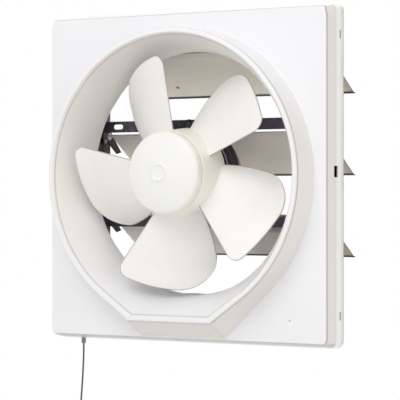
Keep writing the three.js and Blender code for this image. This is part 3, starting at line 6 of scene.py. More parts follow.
import bmesh
import bpy
import numpy as np
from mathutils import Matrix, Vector


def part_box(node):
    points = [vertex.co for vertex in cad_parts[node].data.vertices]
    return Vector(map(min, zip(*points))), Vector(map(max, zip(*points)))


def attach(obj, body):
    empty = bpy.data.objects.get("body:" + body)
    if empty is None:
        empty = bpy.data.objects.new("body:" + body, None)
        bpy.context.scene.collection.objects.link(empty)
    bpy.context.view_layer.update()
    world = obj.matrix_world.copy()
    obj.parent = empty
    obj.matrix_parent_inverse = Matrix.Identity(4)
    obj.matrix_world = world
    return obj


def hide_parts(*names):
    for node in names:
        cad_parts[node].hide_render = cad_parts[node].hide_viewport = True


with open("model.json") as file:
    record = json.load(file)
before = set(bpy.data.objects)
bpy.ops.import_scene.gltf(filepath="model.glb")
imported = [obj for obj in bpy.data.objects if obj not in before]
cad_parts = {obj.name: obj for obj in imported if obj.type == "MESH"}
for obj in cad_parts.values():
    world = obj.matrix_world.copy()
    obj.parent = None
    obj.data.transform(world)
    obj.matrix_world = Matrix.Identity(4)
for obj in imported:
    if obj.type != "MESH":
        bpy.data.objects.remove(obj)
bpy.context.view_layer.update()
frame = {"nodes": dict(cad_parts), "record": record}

bl_info = {
    "name": "Window exhaust fan",
    "version": (1, 0, 0),
    "blender": (4, 5, 0),
    "location": "3D View > Sidebar > Exhaust fan",
    "description": "Builds the finished surfaces of a window exhaust fan round its packed model",
    "category": "Add Mesh",
}

MM = 0.001
JOINTS = {joint["name"]: joint for joint in frame["record"]["behaviour"]["joints"]}
AXIS_Z = JOINTS["fan_spin"]["pos_m"][2]


# ------------------------------------------------------------------ settings
def length(name, description, default):
    """A size in metres."""
    return bpy.props.FloatProperty(
        name=name, description=description, default=default, unit="LENGTH", precision=5)


def angle(name, description, degrees):
    """An angle, given in degrees."""
    return bpy.props.FloatProperty(
        name=name, description=description, default=math.radians(degrees), subtype="ANGLE")


def plain(name, description, default):
    """A plain number."""
    return bpy.props.FloatProperty(name=name, description=description, default=default)


def colour(name, description, red, green, blue):
    """A colour, given as the 0 to 255 values that it shows on a screen."""
    linear = [((c / 255 + 0.055) / 1.055) ** 2.4 if c > 10 else c / 255 / 12.92 for c in (red, green, blue)]
    return bpy.props.FloatVectorProperty(
        name=name, description=description, default=linear, size=3, subtype="COLOR", min=0, max=1)


class FanPanelSizes(bpy.types.PropertyGroup):
    """Front panel with its bell mouth."""

    face: length("Face", "Front face of the panel, square", 0.345)
    flare: length("Flare", "How far the skirt spreads on each side", 0.0036)
    depth: length("Depth", "Skirt of the panel, front to back", 0.015)
    wall: length("Wall", "Wall of the moulding", 0.002)
    edge: length("Edge", "Rounding of the front edge", 0.0014)
    corner: length("Corner", "Corner radius of the face", 0.005)
    lip_proud: length("Lip proud", "Lip in front of the face", 0.0305)
    lip_radius: length("Lip radius", "Outside of the round lip", 0.1553)
    lip_drop: length("Lip drop", "Centre of the lip below the shaft", 0.003)
    lip_band: length("Lip band", "Width of the rolled lip", 0.007)
    lip_round: length("Lip rounding", "Radius of the lip's edges", 0.0025)
    tray_half: length("Tray half length", "Half length of the flat under the lip", 0.051)
    tray_below: length("Tray below", "Flat below the centre of the lip", 0.1543)
    foot_radius: length("Foot radius", "Foot of the collar on the face", 0.1585)
    foot_drop: length("Foot drop", "Centre of the foot below the shaft", 0.005)
    foot_tray_half: length("Foot tray half length", "Half length of the foot's flat", 0.053)
    foot_tray_below: length("Foot tray below", "Foot's flat below its centre", 0.1685)
    foot_fillet: length("Foot fillet", "Hollow rounding where the collar meets the face", 0.0008)
    throat_radius: length("Throat radius", "Inside of the throat", 0.1295)
    bell_ease: plain("Bell ease", "How quickly the bell draws in behind the lip", 1.7)
    slot_deep: length("Slot depth", "Depth of the slots in the skirt's rear edge", 0.0034)


class FanRotorSizes(bpy.types.PropertyGroup):
    """Propeller and spinner."""

    blades: bpy.props.IntProperty(name="Blades", description="Number of blades", default=5, min=2)
    tip: length("Tip radius", "Radius of the blade tips", 0.125)
    start: angle("Start", "Leading edge of the first blade, from +X towards +Z", 21.5)
    span: angle("Span", "Angle from leading to trailing edge", 51.5)
    span_radius: length("Span radius", "Radius inside which the span grows", 0.090)
    spread: plain("Spread", "Degrees that the span gains for each mm nearer the hub", 0.22)
    trail_deep: length("Trailing depth", "How far the trailing edge runs outdoors", 0.021)
    trail_long: length("Trailing length", "Radius over which the trailing edge runs outdoors", 0.056)
    root_thick: length("Root thickness", "Blade at the hub", 0.0030)
    tip_thick: length("Tip thickness", "Blade at its tip", 0.0018)
    camber: length("Camber", "Bulge of the blade towards the room", 0.0045)
    lead_in: length("Leading depth", "Leading edge at the hub, behind the hub's front", 0.014)
    lead_slope: plain("Leading slope", "How far the leading edge comes forward for each unit of radius", 0.19)
    trail_in: length("Trailing root", "Trailing edge at the hub, before the hub's rear", 0.004)
    sunk: length("Root sunk", "How deep the blade's root lies in the hub's wall", 0.0011)
    lead_share: plain("Leading share", "Share of the chord over which the leading corner is rounded", 0.12)
    trail_share: plain("Trailing share", "Share of the chord over which the trailing corner is rounded", 0.34)
    # painted shade along a blade's edge, this wide
    rim_shade_wide: length("Rim width", "Width of the dust along a blade's edge", 0.0011)
    lead_drop: length("Leading corner", "Rounding of the leading tip corner", 0.016)
    trail_drop: length("Trailing corner", "Rounding of the trailing tip corner", 0.035)
    hub_front: length("Hub front", "Radius of the hub's front edge", 0.0442)
    hub_rear: length("Hub rear", "Radius of the hub's rear edge", 0.048)
    hub_wall: length("Hub wall", "Wall of the hub", 0.0022)
    hub_length: length("Hub length", "Front wall to rear edge", 0.037)
    boss: length("Boss radius", "Tube in the middle of the hub", 0.010)
    boss_proud: length("Boss proud", "Boss in front of the hub", 0.002)
    bore: length("Bore radius", "Hole for the shaft", 0.0043)
    spinner: length("Spinner radius", "Side of the spinner", 0.0433)
    spinner_depth: length("Spinner depth", "Side wall of the spinner", 0.010)
    dome: length("Dome", "Rise of the spinner's face", 0.0084)
    button: length("Button", "Radius of the raised ring on the face", 0.0098)
    button_proud: length("Button proud", "Rise of the raised ring", 0.0014)


class FanMotorSizes(bpy.types.PropertyGroup):
    """Motor covers."""

    outer: length("Outer radius", "Outside of the front cover", 0.0463)
    inner: length("Inner radius", "Inside of the front cover", 0.0443)
    flange: length("Flange radius", "Rim where the two covers meet", 0.0475)
    flange_thick: length("Flange thickness", "Sheet of the rim", 0.0018)
    boss: length("Boss radius", "Bearing boss of either cover", 0.014)
    boss_proud: length("Boss proud", "Front boss before the cover's face", 0.004)
    rear_proud: length("Rear boss proud", "Rear boss behind the cover's face", 0.003)
    rear: length("Rear radius", "Outside of the rear cover", 0.041)
    shaft_hole: length("Shaft hole", "Radius of the hole for the shaft", 0.005)
    seat: length("Bearing seat", "Radius of a bearing's seat", 0.0113)
    seat_wall: length("Seat wall", "Outside of a bearing's seat", 0.0133)
    ear_x: length("Ear sideways", "Middle of an ear, sideways from the shaft", 0.017)
    ear_z: length("Ear height", "Middle of an ear, above or below the shaft", 0.052)
    ear_radius: length("Ear radius", "Half the width of an ear", 0.0065)


class FanShutterSizes(bpy.types.PropertyGroup):
    """One shutter; the three are alike."""

    thick: length("Sheet", "Thickness of the sheet", 0.0012)
    half: length("Half length", "Half the length of a shutter", 0.1395)
    width: length("Width", "Bend to lower edge", 0.0764)
    lip: length("Lip", "Width of the lip along the lower edge", 0.0035)
    flange: length("Flange", "Width of the flange in front of the hinge", 0.008)
    flange_up: length("Flange edge", "Upturned edge of the flange", 0.0018)
    short: length("Short end", "Length of the left end that has no bend", 0.0051)
    ear_radius: length("Ear radius", "Round end of an ear, about the hinge", 0.0065)
    arm_radius: length("Arm radius", "Round end of the arm, about the hinge", 0.0055)
    rivet_radius: length("Rivet end", "Round end of the arm, about the rivet", 0.0037)
    arm: length("Arm", "Hinge to rivet", 0.012)
    open: angle("Open", "Slope of the open shutter, from hanging straight down", 55)
    link: angle("Link angle", "Slope of the arm below level", 27.5)


class FanCordSizes(bpy.types.PropertyGroup):
    """Pull cord, folded below the edge of the photograph."""

    diameter: length("Diameter", "Thickness of the cord", 0.002)
    x: length("Sideways", "Where the cord leaves the frame, sideways", -0.1445)
    y: length("Depth", "Where the cord leaves the frame, front to back", -0.0065)
    lean: length("Lean", "How far the drop hangs to the left", -0.004)
    drop_end: length("Drop end", "Height where the hank begins", -0.257)
    run: length("Run", "Straight run of a loop of the hank", 0.032)
    fold: length("Fold", "Radius of the innermost fold", 0.006)
    step: length("Step", "Each loop lies this far outside the next", 0.0033)
    waist: plain("Waist", "Share by which the runs draw in under the tie", 0.22)
    layers: length("Layers", "Distance between the two layers", 0.00255)
    turns: plain("Turns", "Loops in the hank", 3.3)
    reverse: plain("Reverse", "Loops before the hank winds out again", 1.65)


class FanColours(bpy.types.PropertyGroup):
    """Colours of the finishes."""

    panel: colour("Panel", "Front face of the panel", 247, 247, 249)
    panel_side: colour("Panel side", "Sides of the panel and the collar", 245, 241, 236)
    # this colour also paints shade under the lip, along the edges and in the tray's corners, with some dust
    crease: colour("Crease", "Yellowed dust in the panel's creases", 176, 160, 148)
    body: colour("Body", "Enamel of the flange and sleeve", 240, 236, 230)
    # painted highlight on the slanted front of the flange's rim
    rim_front_highlight: bpy.props.FloatVectorProperty(
        name="Rim front", description="Bright front of the flange's rim", default=(0.97, 0.96, 0.94),
        size=3, subtype="COLOR", min=0, max=1)
    # near black inside the sleeve, and painted shadow behind the panel's slots
    near_black: colour("Soot", "Grime inside the sleeve", 34, 31, 35)
    blade: colour("Blade", "Plastic of the blades", 249, 247, 243)
    # this colour paints shade along the blades' edges, real smears on the blades, and the darker right side
    # of the low shutter
    rim: colour("Blade rim", "Dust along the blades' edges and on the low shutter", 132, 118, 106)
    spinner: colour("Spinner", "Plastic of the spinner's face", 248, 247, 243)
    spinner_side: colour("Spinner side", "Aged plastic of the spinner's side and hub", 250, 247, 236)
    stay: colour("Stay", "Enamel of the motor stays", 62, 57, 72)
    motor: colour("Motor", "Enamel of the motor", 44, 40, 50)
    # the worn edge colour also paints the highlights on the motor's step, bend and flange
    edge: colour("Worn edge", "Metal that shows on worn edges", 168, 164, 166)
    shutter: colour("Shutter", "Enamel of the shutters", 249, 244, 236)
    lead: colour("Lead", "Grey vinyl of the motor's lead", 168, 162, 154)
    # painted shade, tinted olive, on the free ends of the shutters
    shutter_end_shade: colour("Shutter end", "Olive dust on the free ends of the shutters", 172, 164, 142)
    # besides real dust, this colour paints shade on the shutters' lips and end faces and along the flange's
    # edge at the wall
    dirt_and_shade: colour("Shutter dirt", "Dust along the shutters' edges", 88, 80, 72)
    rust: colour("Rust", "Rust spot on the top shutter", 96, 70, 44)
    steel: colour("Steel", "Plated fasteners", 186, 184, 180)
    core: colour("Core", "Stacked steel of the motor's core", 112, 112, 116)
    copper: colour("Copper", "Varnished windings", 150, 84, 46)
    nylon: colour("Nylon", "Pins and bushes", 236, 234, 226)
    black: colour("Black plastic", "Switch, capacitor and the tie of the hank", 30, 30, 33)
    cream: colour("Cream plastic", "Terminal block and knob", 224, 216, 192)
    guide: colour("Guide", "Grey cord guide", 140, 137, 134)
    cord: colour("Cord", "Twisted cord", 122, 104, 96)
    # painted shade in the grooves between the strands
    cord_groove_shade: colour("Cord shade", "Grooves between the cord's strands", 70, 58, 52)


class FanStageSettings(bpy.types.PropertyGroup):
    """Camera and light."""

    camera_at: bpy.props.FloatVectorProperty(
        name="Camera", description="Place of the camera", subtype="XYZ",
        default=(1.15044, -1.81976, -0.02522))
    azimuth: angle("Azimuth", "Turn of the camera about the vertical", 32.222)
    lens: plain("Lens", "Focal length in millimetres on a 36 mm sensor", 180.85)
    floor: length("Floor", "Height of the floor below the shaft", -0.345)
    key: plain("Key lamp", "Power of the lamp above and in front, in watts", 12.0)
    back: plain("Back lamp", "Power of the lamp over the floor behind, in watts", 12.5)
    fill: plain("Fill lamp", "Power of the lamp at the right, in watts", 2.2)
    sky: plain("Sky", "Strength of the even light", 0.66)


# ------------------------------------------------------------------ shapes as arrays
def grid_shape(grid, around=True, along=False, caps=False):
    """A skin over a grid of points: each row is a ring, neighbouring rows and columns are joined by quads."""
    grid = np.asarray(grid, float)
    rows, columns = grid.shape[:2]
    i = np.arange(rows if along else rows - 1)[:, None]
    j = np.arange(columns if around else columns - 1)[None, :]
    here, below = i * columns, (i + 1) % rows * columns
    right = (j + 1) % columns
    faces = np.stack([here + j, here + right, below + right, below + j], -1).reshape(-1, 4).tolist()
    if caps:
        faces.append(list(range(columns))[::-1])
        faces.append([(rows - 1) * columns + k for k in range(columns)])
    return outward((grid.reshape(-1, 3), faces))


def outward(shape):
    """The same skin with its faces pointing out: its volume, summed over a fan of each face, is positive."""
    points, faces = shape
    corners = np.array([[f[0], f[k], f[k + 1]] for f in faces for k in range(1, len(f) - 1)])
    a, b, c = (points[corners[:, k]] for k in range(3))
    if np.einsum("ij,ij->i", a, np.cross(b, c)).sum() < 0:
        faces = [f[::-1] for f in faces]
    return points, faces


def filleted(profile, radius, steps=5, closed=False):
    """A line of points with rounded corners: each is a parabola that touches both sides of its corner at
    radius / tan(half the corner's angle), or at 0.45 of the shorter side where that is nearer."""
    points = np.asarray(profile, float)
    count = len(points)
    made = []
    for k in range(count):
        if not closed and k in (0, count - 1):
            made.append(points[k][None])
            continue
        here, before, after = points[k], points[k - 1], points[(k + 1) % count]
        u = (before - here) / np.linalg.norm(before - here)
        v = (after - here) / np.linalg.norm(after - here)
        half = math.acos(np.clip(u @ v, -1, 1)) / 2
        limit = 0.45 * min(np.linalg.norm(before - here), np.linalg.norm(after - here))
        wanted = radius[k] if np.ndim(radius) else radius
        reach = min(wanted, limit * math.tan(half)) / math.tan(half)
        if reach < 1e-6 or half > math.radians(88):
            made.append(here[None])
            continue
        t = np.linspace(0, 1, steps + 1)[:, None]
        start, end = here + u * reach, here + v * reach
        made.append((1 - t) ** 2 * start + 2 * t * (1 - t) * here + t**2 * end)
    return np.concatenate(made)


def turned(profile, sides=128, centre=(0, 0), closed=False):
    """A profile of radius and Y turned about the line along Y through centre."""
    profile = np.asarray(profile, float)
    a = np.linspace(0, 2 * math.pi, sides, endpoint=False)
    r, y = profile[:, :1], profile[:, 1:]
    grid = np.stack([centre[0] + r * np.cos(a), y + 0 * a, centre[1] + r * np.sin(a)], -1)
    return grid_shape(grid, along=closed)


def upright(shape, x, y):
    """A shape turned about Y made to stand about the vertical through x and y: its Y becomes Z."""
    points, faces = shape
    return outward((np.stack([points[:, 0] + x, points[:, 2] + y, points[:, 1]], -1), faces))


def extruded(outline, low, high, axis):
    """A closed outline of two coordinates carried straight along an axis between two values."""
    outline = np.asarray(outline, float)
    rows = []
    for value in (low, high):
        at = np.full(len(outline), value)
        a, b = outline[:, 0], outline[:, 1]
        rows.append(np.stack({"x": (at, a, b), "y": (a, at, b), "z": (a, b, at)}[axis], -1))
    return grid_shape(rows, caps=True)


def sheet_outline(line, thickness):
    """Both sides of a bent sheet seen on edge: the line moved by half its thickness along its normals."""
    line = np.asarray(line, float)
    along = np.gradient(line, axis=0)
    along /= np.linalg.norm(along, axis=1, keepdims=True)
    side = np.stack([-along[:, 1], along[:, 0]], -1) * thickness / 2
    return np.concatenate([line + side, (line - side)[::-1]])


def carried(path, section, flank=(0, 1, 0)):
    """A section carried along a path: its first axis lies across the path and its second along the flank."""
    path = np.asarray(path, float)
    along = np.gradient(path, axis=0)
    along /= np.linalg.norm(along, axis=1, keepdims=True)
    across = np.cross(along, np.asarray(flank, float))
    across /= np.linalg.norm(across, axis=1, keepdims=True)
    up = np.cross(across, along)
    section = np.asarray(section, float)
    return path[:, None] + section[..., :1] * across[:, None] + section[..., 1:] * up[:, None]


def smooth_path(points, count):
    """Points spread evenly along a curve that runs smoothly through the given ones (uniform Catmull-Rom)."""
    p = np.asarray(points, float)
    p = np.concatenate([[2 * p[0] - p[1]], p, [2 * p[-1] - p[-2]]])
    t = np.linspace(0, 1, 24, endpoint=False)[:, None, None]
    a, b, c, d = p[:-3], p[1:-2], p[2:-1], p[3:]
    fine = 0.5 * (2 * b + (c - a) * t + (2 * a - 5 * b + 4 * c - d) * t**2 + (3 * b - 3 * c + d - a) * t**3)
    fine = np.concatenate([fine.transpose(1, 0, 2).reshape(-1, 3), p[-2:-1]])
    return spread(fine, count)


def distances(line):
    """How far each point of a line lies from its start, along the line."""
    return np.concatenate([[0], np.cumsum(np.linalg.norm(np.diff(line, axis=0), axis=1))])


def spread(line, count):
    """The same line with its points at even distances."""
    travel = distances(line)
    at = np.linspace(0, travel[-1], count)
    return np.stack([np.interp(at, travel, line[:, k]) for k in range(3)], -1)


# ------------------------------------------------------------------ pieces and materials
def piece(name, shapes, body, nodes, slot, finish=None, crease=32, attributes=None):
    """Puts shapes into one mesh, rides it on its body and lets it stand for its nodes. Its finish has the
    slot's own name where no other is given, and edges bent by more than the crease angle stay sharp."""
    points, faces, start = [], [], 0
    for shape_points, shape_faces in shapes:
        points.append(shape_points)
        faces += [[k + start for k in f] for f in shape_faces]
        start += len(shape_points)
    mesh = bpy.data.meshes.new(name)
    mesh.from_pydata(np.concatenate(points).tolist(), [], faces)
    for key, values in (attributes or {}).items():
        mesh.attributes.new(key, "FLOAT", "POINT").data.foreach_set("value", np.asarray(values, np.float32))
    work = bmesh.new()
    work.from_mesh(mesh)
    bmesh.ops.remove_doubles(work, verts=work.verts, dist=1e-7)
    bmesh.ops.dissolve_degenerate(work, edges=work.edges, dist=1e-8)
    work.to_mesh(mesh)
    work.free()
    mesh.shade_smooth()
    mesh.set_sharp_from_angle(angle=math.radians(crease))
    mesh.materials.append(finish_named(finish or slot))
    made = bpy.data.objects.new(name, mesh)
    bpy.context.scene.collection.objects.link(made)
    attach(made, body)
    if nodes:
        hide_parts(*nodes)
    return made


def carved(target, crease, *tools):
    """Cuts the tools' shapes out of a piece, and keeps its faces smooth up to the crease angle in degrees."""
    for shape in tools:
        mesh = bpy.data.meshes.new("tool")
        mesh.from_pydata(shape[0].tolist(), [], shape[1])
        tool = bpy.data.objects.new("tool", mesh)
        bpy.context.scene.collection.objects.link(tool)
        cut = target.modifiers.new("cut", "BOOLEAN")
        cut.object = tool
        cut.operation = "DIFFERENCE"
        cut.solver = "EXACT"
        result = bpy.data.meshes.new_from_object(target.evaluated_get(bpy.context.evaluated_depsgraph_get()))
        target.modifiers.clear()
        target.data = result
        bpy.data.objects.remove(tool)
    target.data.shade_smooth()
    target.data.set_sharp_from_angle(angle=math.radians(crease))


def finish_node(node, finish):
    """Gives a CAD node the finish of that name."""
    shown = frame["nodes"][node]
    shown.data.materials.clear()
    shown.data.materials.append(finish_named(finish))


class Wire:
    """A shader socket that can be added, subtracted and multiplied like a number."""

    def __init__(self, tree, socket):
        self.tree, self.socket = tree, socket

    def math(self, operation, *others, clamp=False):
        """A math node with this socket first."""
        node = self.tree.nodes.new("ShaderNodeMath")
        node.operation, node.use_clamp = operation, clamp
        for entry, value in zip(node.inputs, (self, *others)):
            if isinstance(value, Wire):
                self.tree.links.new(value.socket, entry)
            else:
                entry.default_value = value
        return Wire(self.tree, node.outputs[0])

    def reflected(self, operation, value):
        """The operation with the number first and this socket second."""
        node = self.tree.nodes.new("ShaderNodeMath")
        node.operation = operation
        node.inputs[0].default_value = value
        self.tree.links.new(self.socket, node.inputs[1])
        return Wire(self.tree, node.outputs[0])

    def __add__(self, other):
        return self.math("ADD", other)

    def __sub__(self, other):
        return self.math("SUBTRACT", other)

    def __mul__(self, other):
        return self.math("MULTIPLY", other)

    def __radd__(self, other):
        return self.reflected("ADD", other)

    def __rsub__(self, other):
        return self.reflected("SUBTRACT", other)

    def __rmul__(self, other):
        return self.reflected("MULTIPLY", other)

    def __neg__(self):
        return self * -1.0

    def absolute(self):
        return self.math("ABSOLUTE")

    def sine(self):
        return self.math("SINE")

    def hypot(self, other):
        """Square root of the sum of both squares."""
        return (self * self + other * other).math("SQRT")

    def ramp(self, low, high):
        """0 at low, 1 at high, clamped between."""
        return ((self - low) * (1 / (high - low))).math("ADD", 0.0, clamp=True)

    def fall(self, low, high):
        """1 at low, 0 at high, clamped between."""
        return 1 - self.ramp(low, high)


class Finish:
    """A material made of nodes, one principled shader at its end."""

    def __init__(self, name):
        self.material = bpy.data.materials.new("finish_" + name)
        self.material.use_nodes = True
        self.tree = self.material.node_tree
        self.shader = self.tree.nodes["Principled BSDF"]
        self.place = self.node("ShaderNodeTexCoord", output="Object")

    def node(self, kind, settings=None, inputs=None, output=0):
        """Any node: its settings are set first, then the values or links of its sockets."""
        made = self.tree.nodes.new(kind)
        for key, value in (settings or {}).items():
            setattr(made, key, value)
        for key, value in (inputs or {}).items():
            if isinstance(value, Wire):
                self.tree.links.new(value.socket, made.inputs[key])
            else:
                made.inputs[key].default_value = value
        return Wire(self.tree, made.outputs[output])

    def noise(self, scale, detail, rough, place=None):
        """Cloudy noise, about 0 to 1, with its scale in cells per metre."""
        return self.node("ShaderNodeTexNoise", None, {
            "Vector": place or self.place, "Scale": scale, "Detail": detail, "Roughness": rough})

    def stretched(self, x, y, z):
        """The place scaled along each axis."""
        return self.node("ShaderNodeMapping", None, {"Vector": self.place, "Scale": (x, y, z)})

    def axis(self, which):
        """One coordinate of the place."""
        return self.node("ShaderNodeSeparateXYZ", None, {"Vector": self.place}, output=which)

    def facing(self, which):
        """One coordinate of the surface's own normal."""
        normal = self.node("ShaderNodeTexCoord", output="Normal")
        return self.node("ShaderNodeSeparateXYZ", None, {"Vector": normal}, output=which)

    def attribute(self, name):
        """A value that the piece's mesh carries at each point."""
        return self.node("ShaderNodeAttribute", {"attribute_name": name}, output="Fac")

    def mix(self, share, first, second):
        """The first colour where share is 0, the second where it is 1."""
        # the colour form of the node has its share at 0, its colours at 6 and 7, and its result at 2
        colours = {6: first, 7: second}
        for key, value in colours.items():
            if not isinstance(value, Wire):
                colours[key] = (*value[:3], 1.0)
        return self.node("ShaderNodeMix", {"data_type": "RGBA"}, {0: share, **colours}, output=2)

    def set(self, **inputs):
        """Values and links of the principled shader, by socket name with _ for a space."""
        for key, value in inputs.items():
            target = self.shader.inputs[key.replace("_", " ")]
            if isinstance(value, Wire):
                self.tree.links.new(value.socket, target)
            else:
                target.default_value = value

    def bump(self, height, distance, strength):
        """Feeds the normal from a height given as a share of distance, in metres."""
        self.set(Normal=self.node(
            "ShaderNodeBump", None, {"Height": height, "Distance": distance, "Strength": strength}))


def shade(value, factor):
    """A darker or lighter tone of a colour."""
    return tuple(min(1.0, c * factor) for c in value)


# places of the two single marks, in metres
PANEL_SPECK = (0.1296, -0.028, -0.149)
SHUTTER_SPOT = (-0.0762, 0.0799, 0.1016)


def distance_to(f, point):
    """Distance to a point of the piece."""
    parts = [f.axis(axis) - value for axis, value in zip("XYZ", point)]
    return (parts[0] * parts[0] + parts[1] * parts[1] + parts[2] * parts[2]).math("SQRT")


def panel_plastic(colours):
    """Moulded white plastic: cool on the face and on faces turned up, warmer on its sides, partly yellowed
    plastic and partly painted shade, with painted shade darker on the skirt's sides and bottom and on faces
    turned down, faint clouds, dust and painted shade in its creases and along its edges, one brown speck
    and a fine grain."""
    f = Finish("panel_plastic")
    # painted light: faces turned to the front or up take the cool tone and the rest take the warm one, so the
    # warmth is partly yellowed plastic and partly painted shade
    front = (-f.facing("Y")).ramp(0.82, 0.97).math("MAXIMUM", f.facing("Z").ramp(0.25, 0.8))
    clouds = f.noise(11, 5, 0.55)
    specks = f.noise(420, 2, 0.4).ramp(0.70, 0.78)
    side, shaded_underside = (0.170, 0.171), (-0.1722, -0.1716)
    warm = f.mix(clouds.ramp(0.35, 0.75), colours.panel_side, shade(colours.panel_side, 0.955))
    cool = f.mix(clouds.ramp(0.35, 0.75), colours.panel, shade(colours.panel, 0.975))
    # painted shade: the skirt's sides darker, and faces turned down darker still
    warm = f.mix(f.axis("X").absolute().ramp(*side) * 0.5, warm, shade(colours.panel_side, 0.86))
    warm = f.mix((-f.facing("Z")).ramp(0.25, 0.95) * 0.6, warm, shade(colours.panel_side, 0.74))
    # dust and painted shade along the creases, under the lip and behind the front edge
    line = f.attribute("crease_line") * (0.65 + f.noise(30, 3, 0.5) * 0.5)
    tone = f.mix(line * 0.75, f.mix(front, warm, cool), colours.crease)
    # painted shade: the skirt's bottom much darker
    tone = f.mix(f.axis("Z").fall(*shaded_underside) * 0.8, tone, shade(colours.panel_side, 0.62))
    speck = distance_to(f, PANEL_SPECK) + (f.noise(700, 3, 0.6) - 0.5) * 0.001
    tone = f.mix(speck.fall(0.0005, 0.0010) * 0.8, tone, colours.rust)
    tone = f.mix(specks * 0.10, tone, shade(colours.dirt_and_shade, 1.6))
    f.set(Base_Color=tone, Roughness=0.34 + clouds * 0.12, Coat_Weight=0.12, Coat_Roughness=0.25)
    f.bump(f.noise(900, 2, 0.5) * 0.5 + f.noise(60, 3, 0.5) * 0.5, 0.00006, 0.5)
    return f.material


def sprayed(f, dust):
    """Orange peel of sprayed enamel, its clouds, and the patches in which dust gathers."""
    clouds = f.noise(16, 5, 0.6)
    fine = f.noise(150, 4, 0.6)
    f.bump(f.noise(520, 3, 0.5) * 0.6 + clouds * 0.4, 0.00005, 0.6)
    return clouds, clouds.ramp(0.42, 0.78) * dust + fine.ramp(0.60, 0.80) * (dust * 0.5)


def link_enamel(colours):
    """Dark enamel on the link bar, on the screws of the motor and the stays, and on the panel's low clips."""
    f = Finish("link_enamel")
    clouds, patch = sprayed(f, 0.25)
    f.set(Base_Color=f.mix(patch, shade(colours.stay, 0.6), colours.edge), Roughness=0.42 + clouds * 0.16)
    return f.material


def body_enamel(colours):
    """White enamel on the pressed frame: a painted highlight on the slanted front of the rim, painted shade
    towards the wall, mottled near black inside the sleeve, and a near black painted shadow behind the two
    slots of the panel."""
    f = Finish("body_enamel")
    clouds, patch = sprayed(f, 0.18)
    x, y, z, facing = f.axis("X").absolute(), f.axis("Y"), f.axis("Z"), f.facing("Y")
    sleeve, rim = (0.1451, 0.1454), (0.1765, 0.1770)
    slot_from, slot_to, slot_middle, slot_half = (0.1640, 0.1645), (0.1735, 0.1740), 0.00385, (0.0075, 0.0078)
    inside = x.fall(*sleeve) * z.absolute().fall(*sleeve) * y.ramp(0.0, 0.0005)
    # painted highlight: faces slanted a little towards the front turn bright white
    slant_highlight = (-facing).ramp(0.10, 0.16) * (facing + 1.0).ramp(0.5, 0.6)
    # painted shade: the rim's sides darker within two millimetres of the wall
    wall_side_shade = y.ramp(-0.0022, -0.0008) * x.math("MAXIMUM", z.absolute()).ramp(*rim) * facing.fall(0.3, 0.6)
    # painted shadow: the flange seen through the panel's two slots
    slot = x.ramp(*slot_from) * x.fall(*slot_to) * y.fall(-0.0011, -0.0009)
    slot = slot * (z - slot_middle).absolute().fall(*slot_half)
    # near black inside the sleeve, mottled towards dark brown
    sleeve_dark_mix = f.mix(f.noise(45, 5, 0.65).ramp(0.35, 0.80) * 0.7, colours.near_black, colours.dirt_and_shade)
    tone = f.mix(patch, colours.body, colours.dirt_and_shade)
    tone = f.mix(slant_highlight * 0.85, tone, colours.rim_front_highlight)
    tone = f.mix(wall_side_shade * 0.45, tone, shade(colours.dirt_and_shade, 1.5))
    tone = f.mix(inside * 0.92, tone, sleeve_dark_mix)
    # painted shadow, near black, behind the slots
    tone = f.mix(slot, tone, shade(colours.near_black, 0.3))
    f.set(Base_Color=tone, Roughness=0.36 + clouds * 0.16 + slot * 0.4)
    return f.material


def blade_plastic(colours):
    """Off-white moulded plastic with flow marks that run out from the hub, painted shade along the edges, and
    painted light towards the tips.
    """
    f = Finish("blade_plastic")
    x, z = f.axis("X"), f.axis("Z") - AXIS_Z
    radius = x.hypot(z)
    flow = f.noise(26, 5, 0.6, f.stretched(1, 2.2, 1))
    specks = f.noise(260, 3, 0.5).ramp(0.68, 0.76)
    smears = f.noise(70, 6, 0.75, f.stretched(1, 1, 2.5)).ramp(0.66, 0.70)
    tone = f.mix(flow.ramp(0.35, 0.75), colours.blade, shade(colours.blade, 0.965))
    # painted light: the blades a little lighter towards their tips
    tone = f.mix(radius.ramp(0.100, 0.126) * 0.25, tone, shade(colours.blade, 1.05))
    # painted shade along the blades' edges
    tone = f.mix(f.attribute("rim") * 0.75, tone, colours.rim)
    tone = f.mix(smears * 0.16, tone, colours.rim)
    tone = f.mix(specks * 0.14, tone, shade(colours.dirt_and_shade, 1.8))
    f.set(Base_Color=tone, Roughness=0.36 + flow * 0.14, Specular_IOR_Level=0.45)
    f.bump(f.noise(700, 2, 0.5) * 0.4 + flow * 0.6, 0.00007, 0.5)
    return f.material


def hub_plastic(colours):
    """Plastic of the hub and the spinner, aged to cream on their sides."""
    f = Finish("hub_plastic")
    side = f.facing("Y").absolute().ramp(0.75, 0.35)
    flow = f.noise(16, 2, 0.4)
    stain = f.noise(70, 3, 0.6).ramp(0.48, 0.80)
    tone = f.mix(side, colours.spinner, colours.spinner_side)
    tone = f.mix(stain * side * 0.3, tone, shade(colours.spinner_side, 0.84))
    tone = f.mix(flow.ramp(0.3, 0.9) * 0.3, tone, shade(colours.spinner, 0.94))
    f.set(Base_Color=tone, Roughness=0.36 + flow * 0.12, Specular_IOR_Level=0.45, Coat_Weight=0.06,
          Coat_Roughness=0.3)
    f.bump(f.noise(500, 2, 0.5) * 0.4 + flow * 0.6, 0.00006, 0.5)
    return f.material


